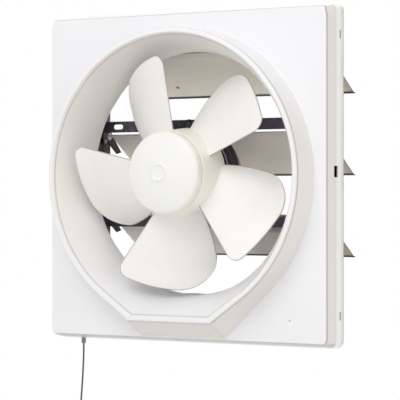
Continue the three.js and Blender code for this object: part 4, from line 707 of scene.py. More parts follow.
def motor_enamel(colours):
    """Near black enamel, with painted highlights and worn bare metal on the front cover's pressed step, its
    bend and its flange.
    """
    f = Finish("motor_enamel")
    x, z = f.axis("X"), f.axis("Z") - AXIS_Z
    radius = x.hypot(z)
    wear = f.noise(240, 4, 0.6)
    worn = radius + (wear - 0.5) * 0.0008
    front = -f.facing("Y")
    step_radius, bend_radius, line_half = 0.0352, 0.0432, (0.0004, 0.0009)
    # painted highlights, partly worn bare metal: thin bright rings on the step and the bend where they face
    # the front, and round the flange
    step = (worn - step_radius).absolute().fall(*line_half) * front.ramp(0.5, 0.8)
    bend = (worn - bend_radius).absolute().fall(*line_half) * front.ramp(0.1, 0.3)
    flange = worn.ramp(0.0466, 0.0473) * radius.fall(0.0477, 0.0480)
    rim = (flange + step * 0.7 + bend * 0.8).math("MINIMUM", 1.0)
    clouds = f.noise(30, 4, 0.6)
    tone = f.mix(clouds.ramp(0.4, 0.8) * 0.5, colours.motor, shade(colours.motor, 1.7))
    f.set(Base_Color=f.mix(rim, tone, shade(colours.edge, 1.4)), Roughness=0.42 + wear * 0.15)
    f.bump(f.noise(480, 3, 0.5), 0.00006, 0.6)
    return f.material


def stay_enamel(colours):
    """Dark enamel on the stays, streaked along them, with small worn spots."""
    f = Finish("stay_enamel")
    streaks = f.noise(9, 5, 0.65, f.stretched(1.5, 14, 14))
    wear = f.noise(210, 4, 0.65).ramp(0.62, 0.74)
    tone = f.mix(streaks.ramp(0.3, 0.8), colours.stay, shade(colours.stay, 1.5))
    f.set(Base_Color=f.mix(wear * 0.35, tone, colours.edge), Roughness=0.40 + streaks * 0.15)
    f.bump(f.noise(450, 3, 0.5), 0.00006, 0.6)
    return f.material


def shutter_enamel(colours):
    """Warm white enamel, darker along the bend, olive painted shade at the free ends, darker brown over the
    right of the low shutter, one rust spot on the top one, near black arms, and painted shade on the lips
    and the end faces."""
    f = Finish("shutter_enamel")
    across = f.attribute("across")
    clouds = f.noise(12, 5, 0.6, f.stretched(1, 2.5, 2.5))
    fine = f.noise(230, 4, 0.6).ramp(0.60, 0.78)
    # painted shade along the lip at the lower edge
    lip = (across + (clouds - 0.5) * 0.01).ramp(0.945, 0.965)
    spot = distance_to(f, SHUTTER_SPOT) + (f.noise(700, 3, 0.6) - 0.5) * 0.002
    x, z = f.axis("X"), f.axis("Z")
    # painted shade, tinted olive, towards the free right ends
    end = x.ramp(0.119, 0.134)
    # darker brown over the right of the low shutter
    low_right_darker = z.fall(-0.048, -0.042) * x.ramp(-0.06, 0.03) * (clouds * 0.5 + 0.5)
    # darker along the bend
    bend = across.fall(0.0, 0.10)
    # painted shade: faces turned along X and the left end nearly black
    end_face_shade = (f.facing("X").absolute().ramp(0.7, 0.9) + x.fall(-0.1368, -0.1352)).math("MINIMUM", 1.0)
    tone = f.mix(clouds.ramp(0.35, 0.75) * 0.6, colours.shutter, shade(colours.shutter, 0.9))
    tone = f.mix(fine * 0.14 + bend * 0.12, tone, colours.dirt_and_shade)
    tone = f.mix(low_right_darker * 0.75, tone, colours.rim)
    tone = f.mix(end * 0.75, tone, colours.shutter_end_shade)
    tone = f.mix(spot.fall(0.0016, 0.0026) * 0.9, tone, colours.rust)
    tone = f.mix(f.attribute("arm") * 0.96, tone, shade(colours.dirt_and_shade, 0.16))
    tone = f.mix(end_face_shade * 0.85, tone, shade(colours.dirt_and_shade, 0.12))
    # painted shade, nearly black, on the lip
    tone = f.mix(lip * 0.97, tone, shade(colours.dirt_and_shade, 0.08))
    f.set(Base_Color=tone, Roughness=0.5 + clouds * 0.15, Specular_IOR_Level=0.4)
    f.bump(f.noise(420, 3, 0.5) * 0.5 + clouds * 0.5, 0.0001, 0.5)
    return f.material


def plated_steel(colours):
    """Zinc plated steel, finely brushed, with dull patches."""
    f = Finish("bright_steel")
    grain = f.noise(90, 3, 0.6, f.stretched(1, 1, 14))
    dull = f.noise(170, 4, 0.6)
    f.set(Base_Color=f.mix(dull.ramp(0.4, 0.8) * 0.5, colours.steel, shade(colours.steel, 0.62)),
          Metallic=0.9, Roughness=0.28 + dull * 0.22)
    f.bump(grain, 0.00004, 0.5)
    return f.material


def stacked_steel(colours):
    """Edges of the stacked sheets of the core, one each half millimetre along the shaft."""
    f = Finish("core_steel")
    sheet, rust_tone = 0.0005, (0.16, 0.09, 0.06)
    sheets = (f.axis("Y") * (2 * math.pi / sheet)).sine() * 0.5 + 0.5
    rust = f.noise(140, 4, 0.6).ramp(0.5, 0.8)
    f.set(Base_Color=f.mix(rust * 0.4, colours.core, rust_tone), Metallic=0.7, Roughness=0.42 + rust * 0.2)
    f.bump(sheets, 0.00006, 0.6)
    return f.material


def wound_copper(colours):
    """Varnished wire in rings round the shaft: fine ridges, with darker patches of varnish."""
    f = Finish("winding_copper")
    wire = 0.0011
    x, z = f.axis("X"), f.axis("Z") - AXIS_Z
    wires = (x.hypot(z) * (2 * math.pi / wire)).sine() * 0.5 + 0.5
    varnish = f.noise(120, 3, 0.6).ramp(0.4, 0.75)
    f.set(Base_Color=f.mix(varnish * 0.6, colours.copper, shade(colours.copper, 0.45)), Metallic=0.6,
          Roughness=0.30 + varnish * 0.15)
    f.bump(wires, 0.0002, 0.7)
    return f.material


def moulded(name, tone, rough, grain):
    """A small moulded plastic part with a fine grain and scuffs."""
    f = Finish(name)
    scuffs = f.noise(130, 5, 0.65)
    f.set(Base_Color=f.mix(scuffs.ramp(0.45, 0.8) * 0.4, tone, shade(tone, 0.78)),
          Roughness=rough + scuffs * 0.16, Specular_IOR_Level=0.45)
    f.bump(f.noise(grain, 2, 0.5), 0.00006, 0.6)
    return f.material


def twisted_cord(colours):
    """Three strands laid round each other, with painted shade in the grooves between them: the strand's phase
    comes from the piece's own attribute.
    """
    f = Finish("cord_fibre")
    strand = f.attribute("strand").sine() * 0.5 + 0.5
    fuzz = f.noise(2600, 3, 0.6)
    # painted shade in the grooves
    tone = f.mix(strand.ramp(0.05, 0.6), colours.cord_groove_shade, colours.cord)
    f.set(Base_Color=f.mix(fuzz.ramp(0.35, 0.8) * 0.4, tone, shade(colours.cord, 1.35)), Roughness=0.85,
          Specular_IOR_Level=0.2)
    f.bump(strand * 0.8 + fuzz * 0.2, 0.00022, 0.8)
    return f.material


MAKERS = {
    "panel_plastic": panel_plastic, "body_enamel": body_enamel, "blade_plastic": blade_plastic,
    "hub_plastic": hub_plastic, "motor_enamel": motor_enamel, "stay_enamel": stay_enamel,
    "shutter_enamel": shutter_enamel, "link_enamel": link_enamel, "bright_steel": plated_steel,
    "core_steel": stacked_steel, "winding_copper": wound_copper, "cord_fibre": twisted_cord,
}
# colour, least roughness and grain in cells per metre of the small moulded parts
MOULDED = {
    "nylon": ("nylon", 0.45, 600.0), "black_plastic": ("black", 0.42, 600.0),
    "cream_plastic": ("cream", 0.34, 600.0), "guide_plastic": ("guide", 0.5, 600.0),
    "lead_rubber": ("lead", 0.55, 900.0),
}
FINISHES = {}


def finish_named(name):
    """A finish by its name, made once."""
    if name not in FINISHES:
        colours = bpy.context.scene.fan_colours
        if name in MOULDED:
            tone, rough, grain = MOULDED[name]
            FINISHES[name] = moulded(name, getattr(colours, tone), rough, grain)
        else:
            FINISHES[name] = MAKERS[name](colours)
    return FINISHES[name]


# ------------------------------------------------------------------ stage
class FAN_OT_stage(bpy.types.Operator):
    """Camera at the photograph's angle, pale floor and backdrop, soft studio light"""

    bl_idname = "fan.stage"
    bl_label = "Stage"

    def execute(self, context):
        s = context.scene.fan_stage
        context.scene.view_settings.view_transform = "Standard"
        data = bpy.data.cameras.new("camera")
        data.sensor_width = 36.0
        data.lens = s.lens
        data.clip_end = 30.0
        camera = bpy.data.objects.new("camera", data)
        camera.location = s.camera_at
        camera.rotation_euler = (math.pi / 2, 0, s.azimuth)
        context.scene.collection.objects.link(camera)
        context.scene.camera = camera
        self.room(s)
        # name, place, what it points at, side length in metres, power in watts
        for lamp in (
            ("key", (0.15, -1.5, 1.25), (0, 0, 0), 1.3, s.key),
            ("back", (0.2, 1.3, 0.9), (0, 0.5, s.floor), 1.5, s.back),
            ("fill", (1.9, -1.0, 0.35), (0, 0, 0), 1.1, s.fill),
        ):
            self.lamp(*lamp)
        self.world(context, s)
        return {"FINISHED"}

    def room(self, s):
        """Floor and backdrop: plain white where they are seen, and a pale matt surface for the light."""
        reach, wall_y, wall_top = 5, 4, 5
        white = bpy.data.materials.new("stage_white")
        white.use_nodes = True
        tree = white.node_tree
        lit = tree.nodes["Principled BSDF"]
        lit.inputs["Base Color"].default_value = (0.86, 0.86, 0.86, 1)
        lit.inputs["Roughness"].default_value = 0.9
        glow = tree.nodes.new("ShaderNodeEmission")
        glow.inputs["Strength"].default_value = 1.0
        seen = self.seen(tree)
        mix = tree.nodes.new("ShaderNodeMixShader")
        tree.links.new(seen, mix.inputs[0])
        tree.links.new(lit.outputs[0], mix.inputs[1])
        tree.links.new(glow.outputs[0], mix.inputs[2])
        tree.links.new(mix.outputs[0], tree.nodes["Material Output"].inputs["Surface"])
        for name, corners in (
            ("floor", [(x, y, s.floor) for x, y in (
                (-reach, -reach), (reach, -reach), (reach, reach), (-reach, reach))]),
            ("backdrop", [(x, wall_y, z) for x, z in (
                (-reach, s.floor), (reach, s.floor), (reach, wall_top), (-reach, wall_top))]),
        ):
            mesh = bpy.data.meshes.new(name)
            mesh.from_pydata(corners, [], [(0, 1, 2, 3)])
            mesh.materials.append(white)
            plane = bpy.data.objects.new(name, mesh)
            bpy.context.scene.collection.objects.link(plane)

    @staticmethod
    def seen(tree):
        """1 for what the camera, a gloss or glass sees directly."""
        path = tree.nodes.new("ShaderNodeLightPath")
        seen = path.outputs["Is Camera Ray"]
        for ray in ("Is Glossy Ray", "Is Transmission Ray"):
            either = tree.nodes.new("ShaderNodeMath")
            either.operation = "MAXIMUM"
            tree.links.new(seen, either.inputs[0])
            tree.links.new(path.outputs[ray], either.inputs[1])
            seen = either.outputs[0]
        return seen

    def world(self, context, s):
        """Even light at the sky's strength, and full white where it is seen."""
        world = bpy.data.worlds.new("studio")
        world.use_nodes = True
        tree = world.node_tree
        back = tree.nodes["Background"]
        back.inputs["Color"].default_value = (1, 1, 1, 1)
        mixed = tree.nodes.new("ShaderNodeMapRange")
        mixed.inputs["To Min"].default_value = s.sky
        mixed.inputs["To Max"].default_value = 1.0
        tree.links.new(self.seen(tree), mixed.inputs["Value"])
        tree.links.new(mixed.outputs[0], back.inputs["Strength"])
        context.scene.world = world

    @staticmethod
    def lamp(name, at, to, size, power):
        """A square lamp that points at a place."""
        data = bpy.data.lights.new(name, "AREA")
        data.size = size
        data.energy = power
        made = bpy.data.objects.new(name, data)
        made.location = at
        made.rotation_euler = (Vector(to) - Vector(at)).to_track_quat("-Z", "Y").to_euler()
        bpy.context.scene.collection.objects.link(made)


# ------------------------------------------------------------------ pull cord
def twisted_tube(path, radius):
    """A round cord of three strands: its radius is 0.93 in the grooves and 1.0 on the strands, and they turn
    once in each pitch."""
    pitch, strands, sides = 0.0045, 3, 14
    path = np.asarray(path, float)
    travel = distances(path)
    a = np.linspace(0, 2 * math.pi, sides, endpoint=False)
    phase = strands * (a[None] + 2 * math.pi * travel[:, None] / pitch)
    r = radius * (0.93 + 0.07 * np.abs(np.sin(phase / 2)))
    section = np.stack([r * np.cos(a), r * np.sin(a)], -1)
    return grid_shape(carried(path, section), caps=True), phase.ravel()


def hank_points(c):
    """Racetrack loops: each falls along the right run, rounds the bottom, climbs the left one and rounds the
    top. A run takes 0.3 of a turn and a fold 0.2. The width draws in by the step each turn until the reverse,
    then grows again in the second layer. The waist narrows by a bell curve of the height, exp(-(z / 7 mm)^2).
    """
    run, fold, waist_half = 0.3, 0.2, 0.007
    t = np.linspace(0, c.turns, int(72 * c.turns))
    inward = c.step * np.where(t < c.reverse, t, 2 * c.reverse - t)
    outer = c.fold + c.step * c.reverse
    width = outer - inward
    crossing = 0.3  # of a turn, in which the cord climbs to the second layer
    s = np.clip((t - c.reverse + crossing / 2) / crossing, 0, 1)
    climb = s * s * (3 - 2 * s)
    phase, half = t % 1, c.run / 2
    low, high = math.pi * (phase - run) / fold, math.pi * (phase - 0.8) / fold
    spans = [phase < run, phase < 0.5, phase < 0.8]
    x = np.select(spans, [width, width * np.cos(low), -width], -width * np.cos(high))
    z = np.select(spans, [half - c.run * phase / run, -half - width * np.sin(low),
                          -half + c.run * (phase - 0.5) / run], half + width * np.sin(high))
    top = c.drop_end - 0.0003
    middle = (c.x + c.lean - outer, top - 0.003 - half)
    waist = 1 - c.waist * np.exp(-((z / waist_half) ** 2))
    line = np.stack([middle[0] + x * waist, c.y - c.layers * climb, middle[1] + z], -1)
    start = [[line[0, 0], c.y, top]]
    end = [[line[-1, 0], line[-1, 1], middle[1] - half - outer - 0.005]]
    return np.concatenate([start, line, end])


class FAN_OT_cord(bpy.types.Operator):
    """Pull cord: drop from the guide, hank with its tie, and the end knob"""

    bl_idname = "fan.cord"
    bl_label = "Pull cord"

    def execute(self, context):
        c = context.scene.fan_cord
        low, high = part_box("cord_upper")
        eye, bead_foot = high.z - 0.0035, high.z - 0.005
        upper_line = spread(np.array([[c.x, c.y, low.z], [c.x, c.y, eye]]), 90)
        upper = self.strand("cord_inside", upper_line, ["cord_upper"], c)
        profile = filleted(np.array([[0, 0], [2.4, 0], [2.4, 5], [0, 5]]) * MM + [0, bead_foot], 0.0007)
        bead = piece("cord_stop_bead", [upright(turned(profile, 32), c.x, c.y)], "cord", [], "cream_plastic")
        whole = np.concatenate([self.drop_points(c), spread(hank_points(c), 620)])
        cord = self.strand("pull_cord", whole, ["cord_drop", "cord_hank"], c)
        tie = self.tie()
        knob = self.knob()
        return {"FINISHED"}

    def strand(self, name, line, nodes, c):
        """A length of the twisted cord along a line."""
        shape, phase = twisted_tube(line, c.diameter / 2)
        return piece(name, [shape], "cord", nodes, "cord_fibre", crease=60, attributes={"strand": phase})

    def drop_points(self, c):
        """From the cord's top through its guide down to the hank, moving sideways by the lean on the way."""
        guide_low, guide_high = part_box("cord_guide")
        fall = guide_low.z - c.drop_end
        # share of the lean, height
        stations = [
            (0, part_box("cord_drop")[1].z), (0, guide_high.z), (0, guide_low.z),
            (0.05, guide_low.z - fall * 0.2), (0.35, guide_low.z - fall * 0.5),
            (0.8, guide_low.z - fall * 0.8), (1, c.drop_end + 0.006), (1, c.drop_end)]
        return smooth_path([(c.x + c.lean * share, c.y, z) for share, z in stations], 150)

    def tie(self):
        """A band round the waist of the hank: a rounded box in plan, |x|^(2 / 0.55) + |y|^(2 / 0.55) = 1,
        whose section is an oval."""
        low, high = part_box("cord_tie")
        centre, half = (low + high) / 2, (high - low) / 2
        squareness, thick = 0.55, 0.0004
        u = np.linspace(0, 2 * math.pi, 96, endpoint=False)
        plan = np.stack([np.cos(u), np.sin(u)], -1)
        out = np.sign(plan) * np.abs(plan) ** squareness * [half.x - thick, half.y - thick]
        ring = out + [centre.x, centre.y]
        out /= np.linalg.norm(out, axis=1, keepdims=True)
        v = np.linspace(0, 2 * math.pi, 12, endpoint=False)
        band = ring[:, None] + thick * np.cos(v)[:, None] * out[:, None]
        height = np.broadcast_to(centre.z + half.z * np.sin(v), band.shape[:2])
        grid = np.concatenate([band, height[..., None]], -1)
        return piece("hank_tie", [grid_shape(grid, along=True)], "cord", ["cord_tie"], "black_plastic",
                     crease=60)

    def knob(self):
        """A bell-shaped end knob with a rounded foot."""
        low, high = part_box("cord_knob")
        x, y = (low.x + high.x) / 2, (low.y + high.y) / 2
        profile = np.array([[0, 0], [2.2, 0], [3.0, -1], [3.4, -6], [6.2, -15], [6.7, -18], [6.2, -20.5],
                            [4.5, -21.5], [0, -21.5]]) * MM + [0, high.z]
        shape = upright(turned(filleted(profile, 0.003, 6), 72), x, y)
        return piece("pull_knob", [shape], "cord", ["cord_knob"], "cream_plastic", crease=50)


# ------------------------------------------------------------------ panel with the bell mouth
TRAY_CORNER = 0.12
TRAY_TANGENT = 0.30


def ring_shares():
    """Shares of a half ring from straight down to straight up: the tray's flat ends at its corner, the slant
    beside it at the tangent, and the circle follows. They lie close together at the tray's corner, at the
    panel's lower corner and at its upper corner."""
    circle = np.concatenate([
        np.linspace(0, 0.02, 3), np.linspace(0.05, 0.11, 21), np.linspace(0.14, 0.62, 45),
        np.linspace(0.68, 0.86, 41), np.linspace(0.88, 1, 12)])
    return np.concatenate([
        np.linspace(0, TRAY_CORNER, 13)[:-1], [0.1188, TRAY_CORNER, 0.1215],
        np.linspace(TRAY_CORNER, TRAY_TANGENT, 17)[1:-1], TRAY_TANGENT + (1 - TRAY_TANGENT) * circle])


def tray_ring(shares, radius, half, below, drop, y):
    """A circle whose bottom is drawn out along two tangents to a flat: the reach is the radius above the
    tangent points, radius / cos(tangent - angle) along the tangents, and below / cos(angle) on the flat."""
    corner = math.atan2(half, below)
    tangent = corner + math.acos(min(1, radius / math.hypot(half, below)))
    a = np.interp(shares, [0, TRAY_CORNER, TRAY_TANGENT, 1], [0, corner, tangent, math.pi])
    reach = np.select([a >= tangent - 1e-9, a >= corner], [radius + 0 * a, radius / np.cos(tangent - a)],
                      below / np.cos(a))
    x, z = reach * np.sin(a), AXIS_Z - drop - reach * np.cos(a)
    x, z = np.concatenate([x, -x[-2:0:-1]]), np.concatenate([z, z[-2:0:-1]])
    return np.stack([x, np.full(len(x), y), z], -1)


def square_ring(like, size, corner, y):
    """A rounded square seen at the angles of another ring, drawn towards the corners by 0.2 sin(4 a):
    straight sides, then arcs."""
    a = np.arctan2(like[:, 2], like[:, 0])
    a = a - 0.2 * np.sin(4 * (a - math.pi / 4))
    d = np.stack([np.cos(a), np.sin(a)], -1)
    half = size / 2
    straight = half / np.abs(d).max(1)
    hit = np.abs(d * straight[:, None])
    centre = np.sign(d) * (half - corner)
    along = (d * centre).sum(1)
    curved = along + np.sqrt(np.maximum(along**2 - (centre**2).sum(1) + corner**2, 0))
    reach = np.where(hit.min(1) > half - corner, curved, straight)
    return np.stack([d[:, 0] * reach, np.full(len(a), y), d[:, 1] * reach], -1)


def round_ring(like, radius, y):
    """A circle round the shaft whose points face those of another ring."""
    a = np.arctan2(like[:, 2] - AXIS_Z, like[:, 0])
    return np.stack([radius * np.cos(a), np.full(len(a), y), AXIS_Z + radius * np.sin(a)], -1)


class FAN_OT_panel(bpy.types.Operator):
    """Front panel: skirt, face, raised collar with the tray, and the bell down to the throat"""

    bl_idname = "fan.panel"
    bl_label = "Panel"

    def execute(self, context):
        p = context.scene.fan_panel
        lip_y, throat_y = (corner.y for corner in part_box("orifice_panel"))
        face_y = lip_y + p.lip_proud
        rear_y = face_y + p.depth
        shares = ring_shares()

        def lip(inset, y):
            """The rolled lip's outline."""
            return tray_ring(shares, p.lip_radius - inset, p.tray_half - inset / 2, p.tray_below - inset,
                             p.lip_drop, y)

        def foot(inset, y):
            """The collar's outline where it meets the face."""
            return tray_ring(shares, p.foot_radius - inset, p.foot_tray_half - inset / 2,
                             p.foot_tray_below - inset, p.foot_drop, y)

        def flank(share, inset=0.0):
            """The collar's side: a straight mix of foot and lip."""
            y = face_y + (lip_y + p.lip_round - face_y) * share
            return (1 - share) * foot(inset, y) + share * lip(inset, y)

        def bell(share, back):
            """The bell: drawn in from the lip to the round throat by 1 - (1 - share)^ease."""
            start = lip(p.lip_band - back, 0)
            drawn_in = 1 - (1 - share) ** p.bell_ease
            ring = start + (round_ring(start, p.throat_radius + back, 0) - start) * drawn_in
            ring[:, 1] = lip_y + p.lip_round + (throat_y - lip_y - p.lip_round) * share
            return ring

        plain_ring = foot(0, face_y)
        corner = np.isclose(shares, TRAY_CORNER)
        corner = np.concatenate([corner, corner[-2:0:-1]])
        rings, lines = [], []

        def add(ring, line=0.0, corner_line=0.0):
            """A ring with the strength of its line of dust and painted shade, all round and at the tray's
            corners.
            """
            rings.append(ring)
            lines.append(np.maximum(line, corner * corner_line))

        def skirt(inset, share):
            """The skirt's outline, spreading evenly towards its rear edge."""
            size = p.face + 2 * p.flare * share - 2 * inset
            rounding = p.corner + p.flare * share / 2 - min(inset, 0.003)
            return square_ring(plain_ring, size, rounding, face_y + p.depth * share)

        # outside of the skirt, from the rear, with dust and painted shade behind the rounded front edge
        for share, line in ((1.0, 0.0), (0.55, 0.0), (0.18, 0.0), (0.14, 0.9)):
            add(skirt(0, share), line)
        for a in np.linspace(0, math.pi / 2, 7):
            size = p.face - 2 * p.edge * (1 - math.cos(a))
            ring = square_ring(plain_ring, size, p.corner, face_y + p.edge * (1 - math.sin(a)))
            add(ring, 0.9 if a < 0.6 else 0.0)
        # the face, and the hollow rounding where the collar stands on it
        add(square_ring(plain_ring, p.face - 2 * p.edge - 0.0002, p.corner, face_y))
        for a in np.linspace(0, math.pi / 2, 6):
            out = p.foot_fillet * (1 - math.sin(a))
            add(foot(-out, face_y - p.foot_fillet * (1 - math.cos(a))))
        # side of the collar, with painted shade under the lip, and dust and painted shade at the tray's
        # corners
        for share in (*np.linspace(0.12, 0.88, 8), 0.95, 1.0):
            add(flank(share), 1.0 if share > 0.96 else 0.0, 0.8)
        # outer edge, front and inner edge of the lip, with lines of dust and painted shade at both edges
        for a in np.linspace(0, math.pi / 2, 8)[1:]:
            ring = lip(p.lip_round * (1 - math.cos(a)), lip_y + p.lip_round * (1 - math.sin(a)))
            add(ring, 0.8 if a < 0.5 else 0.0)
        add(lip(p.lip_band * 0.55, lip_y))
        for a in np.linspace(0, math.pi / 2, 8)[1:]:
            inset = p.lip_band - p.lip_round * math.cos(a) * 0.9
            ring = lip(inset if a < 1.5 else p.lip_band, lip_y + p.lip_round * (1 - math.cos(a)))
            add(ring, 0.7 if a > 1.4 else 0.0)
        # the bell to the throat, back along its rear side, and the inside of the rest
        for share in (0.015, 0.03, *np.linspace(0.06, 1, 25)):
            add(bell(share, 0.0), 0.7 if share < 0.02 else 0.0)
        for share in np.linspace(1, 0.05, 14):
            add(bell(share, p.wall))
        add(lip(p.wall, lip_y + p.lip_round + p.wall))
        add(flank(0.5, p.wall))
        add(foot(p.wall, face_y + p.wall))
        add(square_ring(plain_ring, p.face - 2 * p.wall, p.corner - 0.001, face_y + p.wall))
        add(skirt(p.wall, 1.0))
        made = piece("panel", [grid_shape(rings, along=True)], "housing", ["orifice_panel"], "panel_plastic",
                     attributes={"crease_line": np.concatenate(lines)})
        front, rear, below, above = rear_y - p.slot_deep, rear_y + 0.001, -0.002, 0.0097
        outline = [(front, below), (rear, below), (rear, above), (front, above)]
        side, reach = p.face / 2 + p.flare, 0.004
        carved(made, 32, *(extruded(outline, x - reach, x + reach, "x") for x in (-side, side)))
        return {"FINISHED"}


# ------------------------------------------------------------------ propeller and spinner
def blade_shape(r, k, hub_y, rear_y):
    """One blade: for a share u across the chord and v from hub to tip, the mean surface runs from the leading
    to the trailing edge line, bulged by camber * sin(pi u), and is thickened along its normal by an oval
    section. Its root ring, which lies inside the hub, is closed by one face."""
    u = (1 - np.cos(np.linspace(0, math.pi, 41))) / 2
    v = 1 - (1 - np.linspace(0, 1, 45)) ** 1.35
    chord, out = np.meshgrid(u, v)

    def ease(x, drop):
        """A quarter of an ellipse: 0 at 0, the drop at 1."""
        return drop * (1 - np.sqrt(np.maximum(0, 1 - np.clip(x, 0, 1) ** 2)))

    def lead(radius):
        """Y of the leading edge."""
        return hub_y + r.lead_in - (radius - r.hub_rear) * r.lead_slope

    def trail(radius):
        """Y of the trailing edge."""
        outward_share = np.clip((radius - r.hub_rear) / r.trail_long, 0, 1)
        return rear_y - r.trail_in + r.trail_deep * outward_share**0.9

    tip = r.tip - ease(1 - chord / r.lead_share, r.lead_drop)
    tip = tip - ease(1 - (1 - chord) / r.trail_share, r.trail_drop)
    root_y = lead(r.hub_rear) + (trail(r.hub_rear) - lead(r.hub_rear)) * chord
    root = r.hub_front + (r.hub_rear - r.hub_front) * (root_y - hub_y) / r.hub_length - r.sunk
    radius = root + (tip - root) * out
    span = r.span + math.radians(r.spread) * (r.span_radius - radius) * 1000
    turn = r.start + 2 * math.pi * k / r.blades + span * chord
    y = lead(radius) + (trail(radius) - lead(radius)) * chord
    y = y - r.camber * np.sin(math.pi * chord) * np.minimum(1, 0.25 + out)
    middle = np.stack([radius * np.cos(turn), y, AXIS_Z + radius * np.sin(turn)], -1)
    normal = np.cross(np.gradient(middle, u, axis=1), np.gradient(middle, v, axis=0))
    normal /= np.linalg.norm(normal, axis=2, keepdims=True)
    thick = (r.root_thick + (r.tip_thick - r.root_thick) * out) / 2
    thick = thick * np.sqrt(np.maximum(0, 1 - np.abs(2 * chord - 1) ** 4))
    thick = thick * np.sqrt(np.maximum(0, 1 - np.clip((out - 0.985) / 0.015, 0, 1) ** 2))
    front, back = middle + normal * thick[..., None], middle - normal * thick[..., None]
    # painted shade along the blade's edges: 1 at the outline, falling to 0 over the rim width
    inward = np.minimum(np.minimum(chord, 1 - chord) * radius * span, tip - radius)
    rim = np.clip(1.25 - inward / r.rim_shade_wide, 0, 1)
    rim = np.concatenate([rim, rim[:, -2:0:-1]], 1)
    points, faces = grid_shape(np.concatenate([front, back[:, -2:0:-1]], 1))
    return outward((points, faces + [list(range(rim.shape[1]))])), rim.ravel()


class FAN_OT_rotor(bpy.types.Operator):
    """Propeller with its hub, and the spinner over it"""

    bl_idname = "fan.rotor"
    bl_label = "Propeller and spinner"

    def execute(self, context):
        r = context.scene.fan_rotor
        boss_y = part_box("propeller")[0].y
        hub_y = boss_y + r.boss_proud
        rear_y = hub_y + r.hub_length
        bore, boss = r.bore, r.boss
        inner_rear, inner_front = r.hub_rear - r.hub_wall, r.hub_front - r.hub_wall
        profile = [[bore, boss_y], [boss, boss_y], [boss, hub_y], [r.hub_front, hub_y],
                   [r.hub_rear, rear_y], [inner_rear, rear_y], [inner_front, hub_y + r.hub_wall],
                   [boss, hub_y + r.hub_wall], [boss, rear_y], [bore, rear_y]]
        hub = turned(filleted(profile, 0.0009, 4, closed=True), 160, (0, AXIS_Z), closed=True)
        count = 2 * r.blades
        ribs = [self.rib(r, hub_y, rear_y, 2 * math.pi * (k + 0.5) / count) for k in range(count)]
        piece("propeller_hub", [hub, *ribs], "rotor", ["propeller"], "blade_plastic", "hub_plastic")
        shapes, rim_shades = zip(*(blade_shape(r, k, hub_y, rear_y) for k in range(r.blades)))
        piece("propeller_blades", shapes, "rotor", ["propeller"], "blade_plastic", crease=70,
              attributes={"rim": np.concatenate(rim_shades)})
        self.spinner(r, hub_y)
        return {"FINISHED"}

    def rib(self, r, hub_y, rear_y, a):
        """A flat rib between the boss and the hub's wall, inside the hub."""
        along, side = np.array([math.cos(a), math.sin(a)]), np.array([-math.sin(a), math.cos(a)]) * 0.0008
        near, far = along * 0.0095, along * (r.hub_front - 0.0015)
        outline = np.array([near + side, far + side, far - side, near - side]) + [0, AXIS_Z]
        return extruded(outline, hub_y + r.hub_wall * 0.8, rear_y - 0.012, "y")

    def spinner(self, r, hub_y):
        """The cap over the hub: a face that falls by share^2.2 from the middle to its edge, a raised ring on
        it, a rounded edge, and a sleeve inside that reaches back to the shaft."""
        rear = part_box("spinner_cap")[1].y
        edge = rear - r.spinner_depth
        top = edge - r.dome
        proud = top - r.button_proud
        share = np.linspace(0, 1, 26)
        dome = np.stack([r.spinner * share, top + (edge - top) * share**2.2], -1)
        ring = filleted([
            [0, top], [r.button - 0.0030, top - 0.0002], [r.button - 0.0018, proud],
            [r.button - 0.0006, proud], [r.button + 0.0007, top], [r.button + 0.003, top + 0.0002]],
            0.0008, 4)
        face = dome[(dome[:, 0] > r.button + 0.004) & (share < 0.85)]
        side = filleted([
            face[-1], [r.spinner, edge], [r.spinner, rear - 0.0004], [r.spinner - 0.0003, rear]],
            [0, 0.006, 0, 0], 12)
        wall, sleeve, bore = r.hub_wall, r.boss, r.bore
        sleeve_y, bore_y = hub_y - 0.0023, hub_y - 0.0123
        inside = [
            [r.spinner - wall, rear], [r.spinner - wall, edge + 0.0024], [r.spinner * 0.84, edge + 0.0004],
            [r.spinner * 0.5, top + 0.0046], [sleeve, top + wall + 0.001], [sleeve, sleeve_y],
            [bore, sleeve_y], [bore, bore_y], [0, bore_y]]
        profile = np.concatenate([ring, face[:-1], side, inside])
        piece("spinner", [turned(profile, 176, (0, AXIS_Z))], "rotor", ["spinner_cap"], "spinner_plastic",
              "hub_plastic", crease=38)


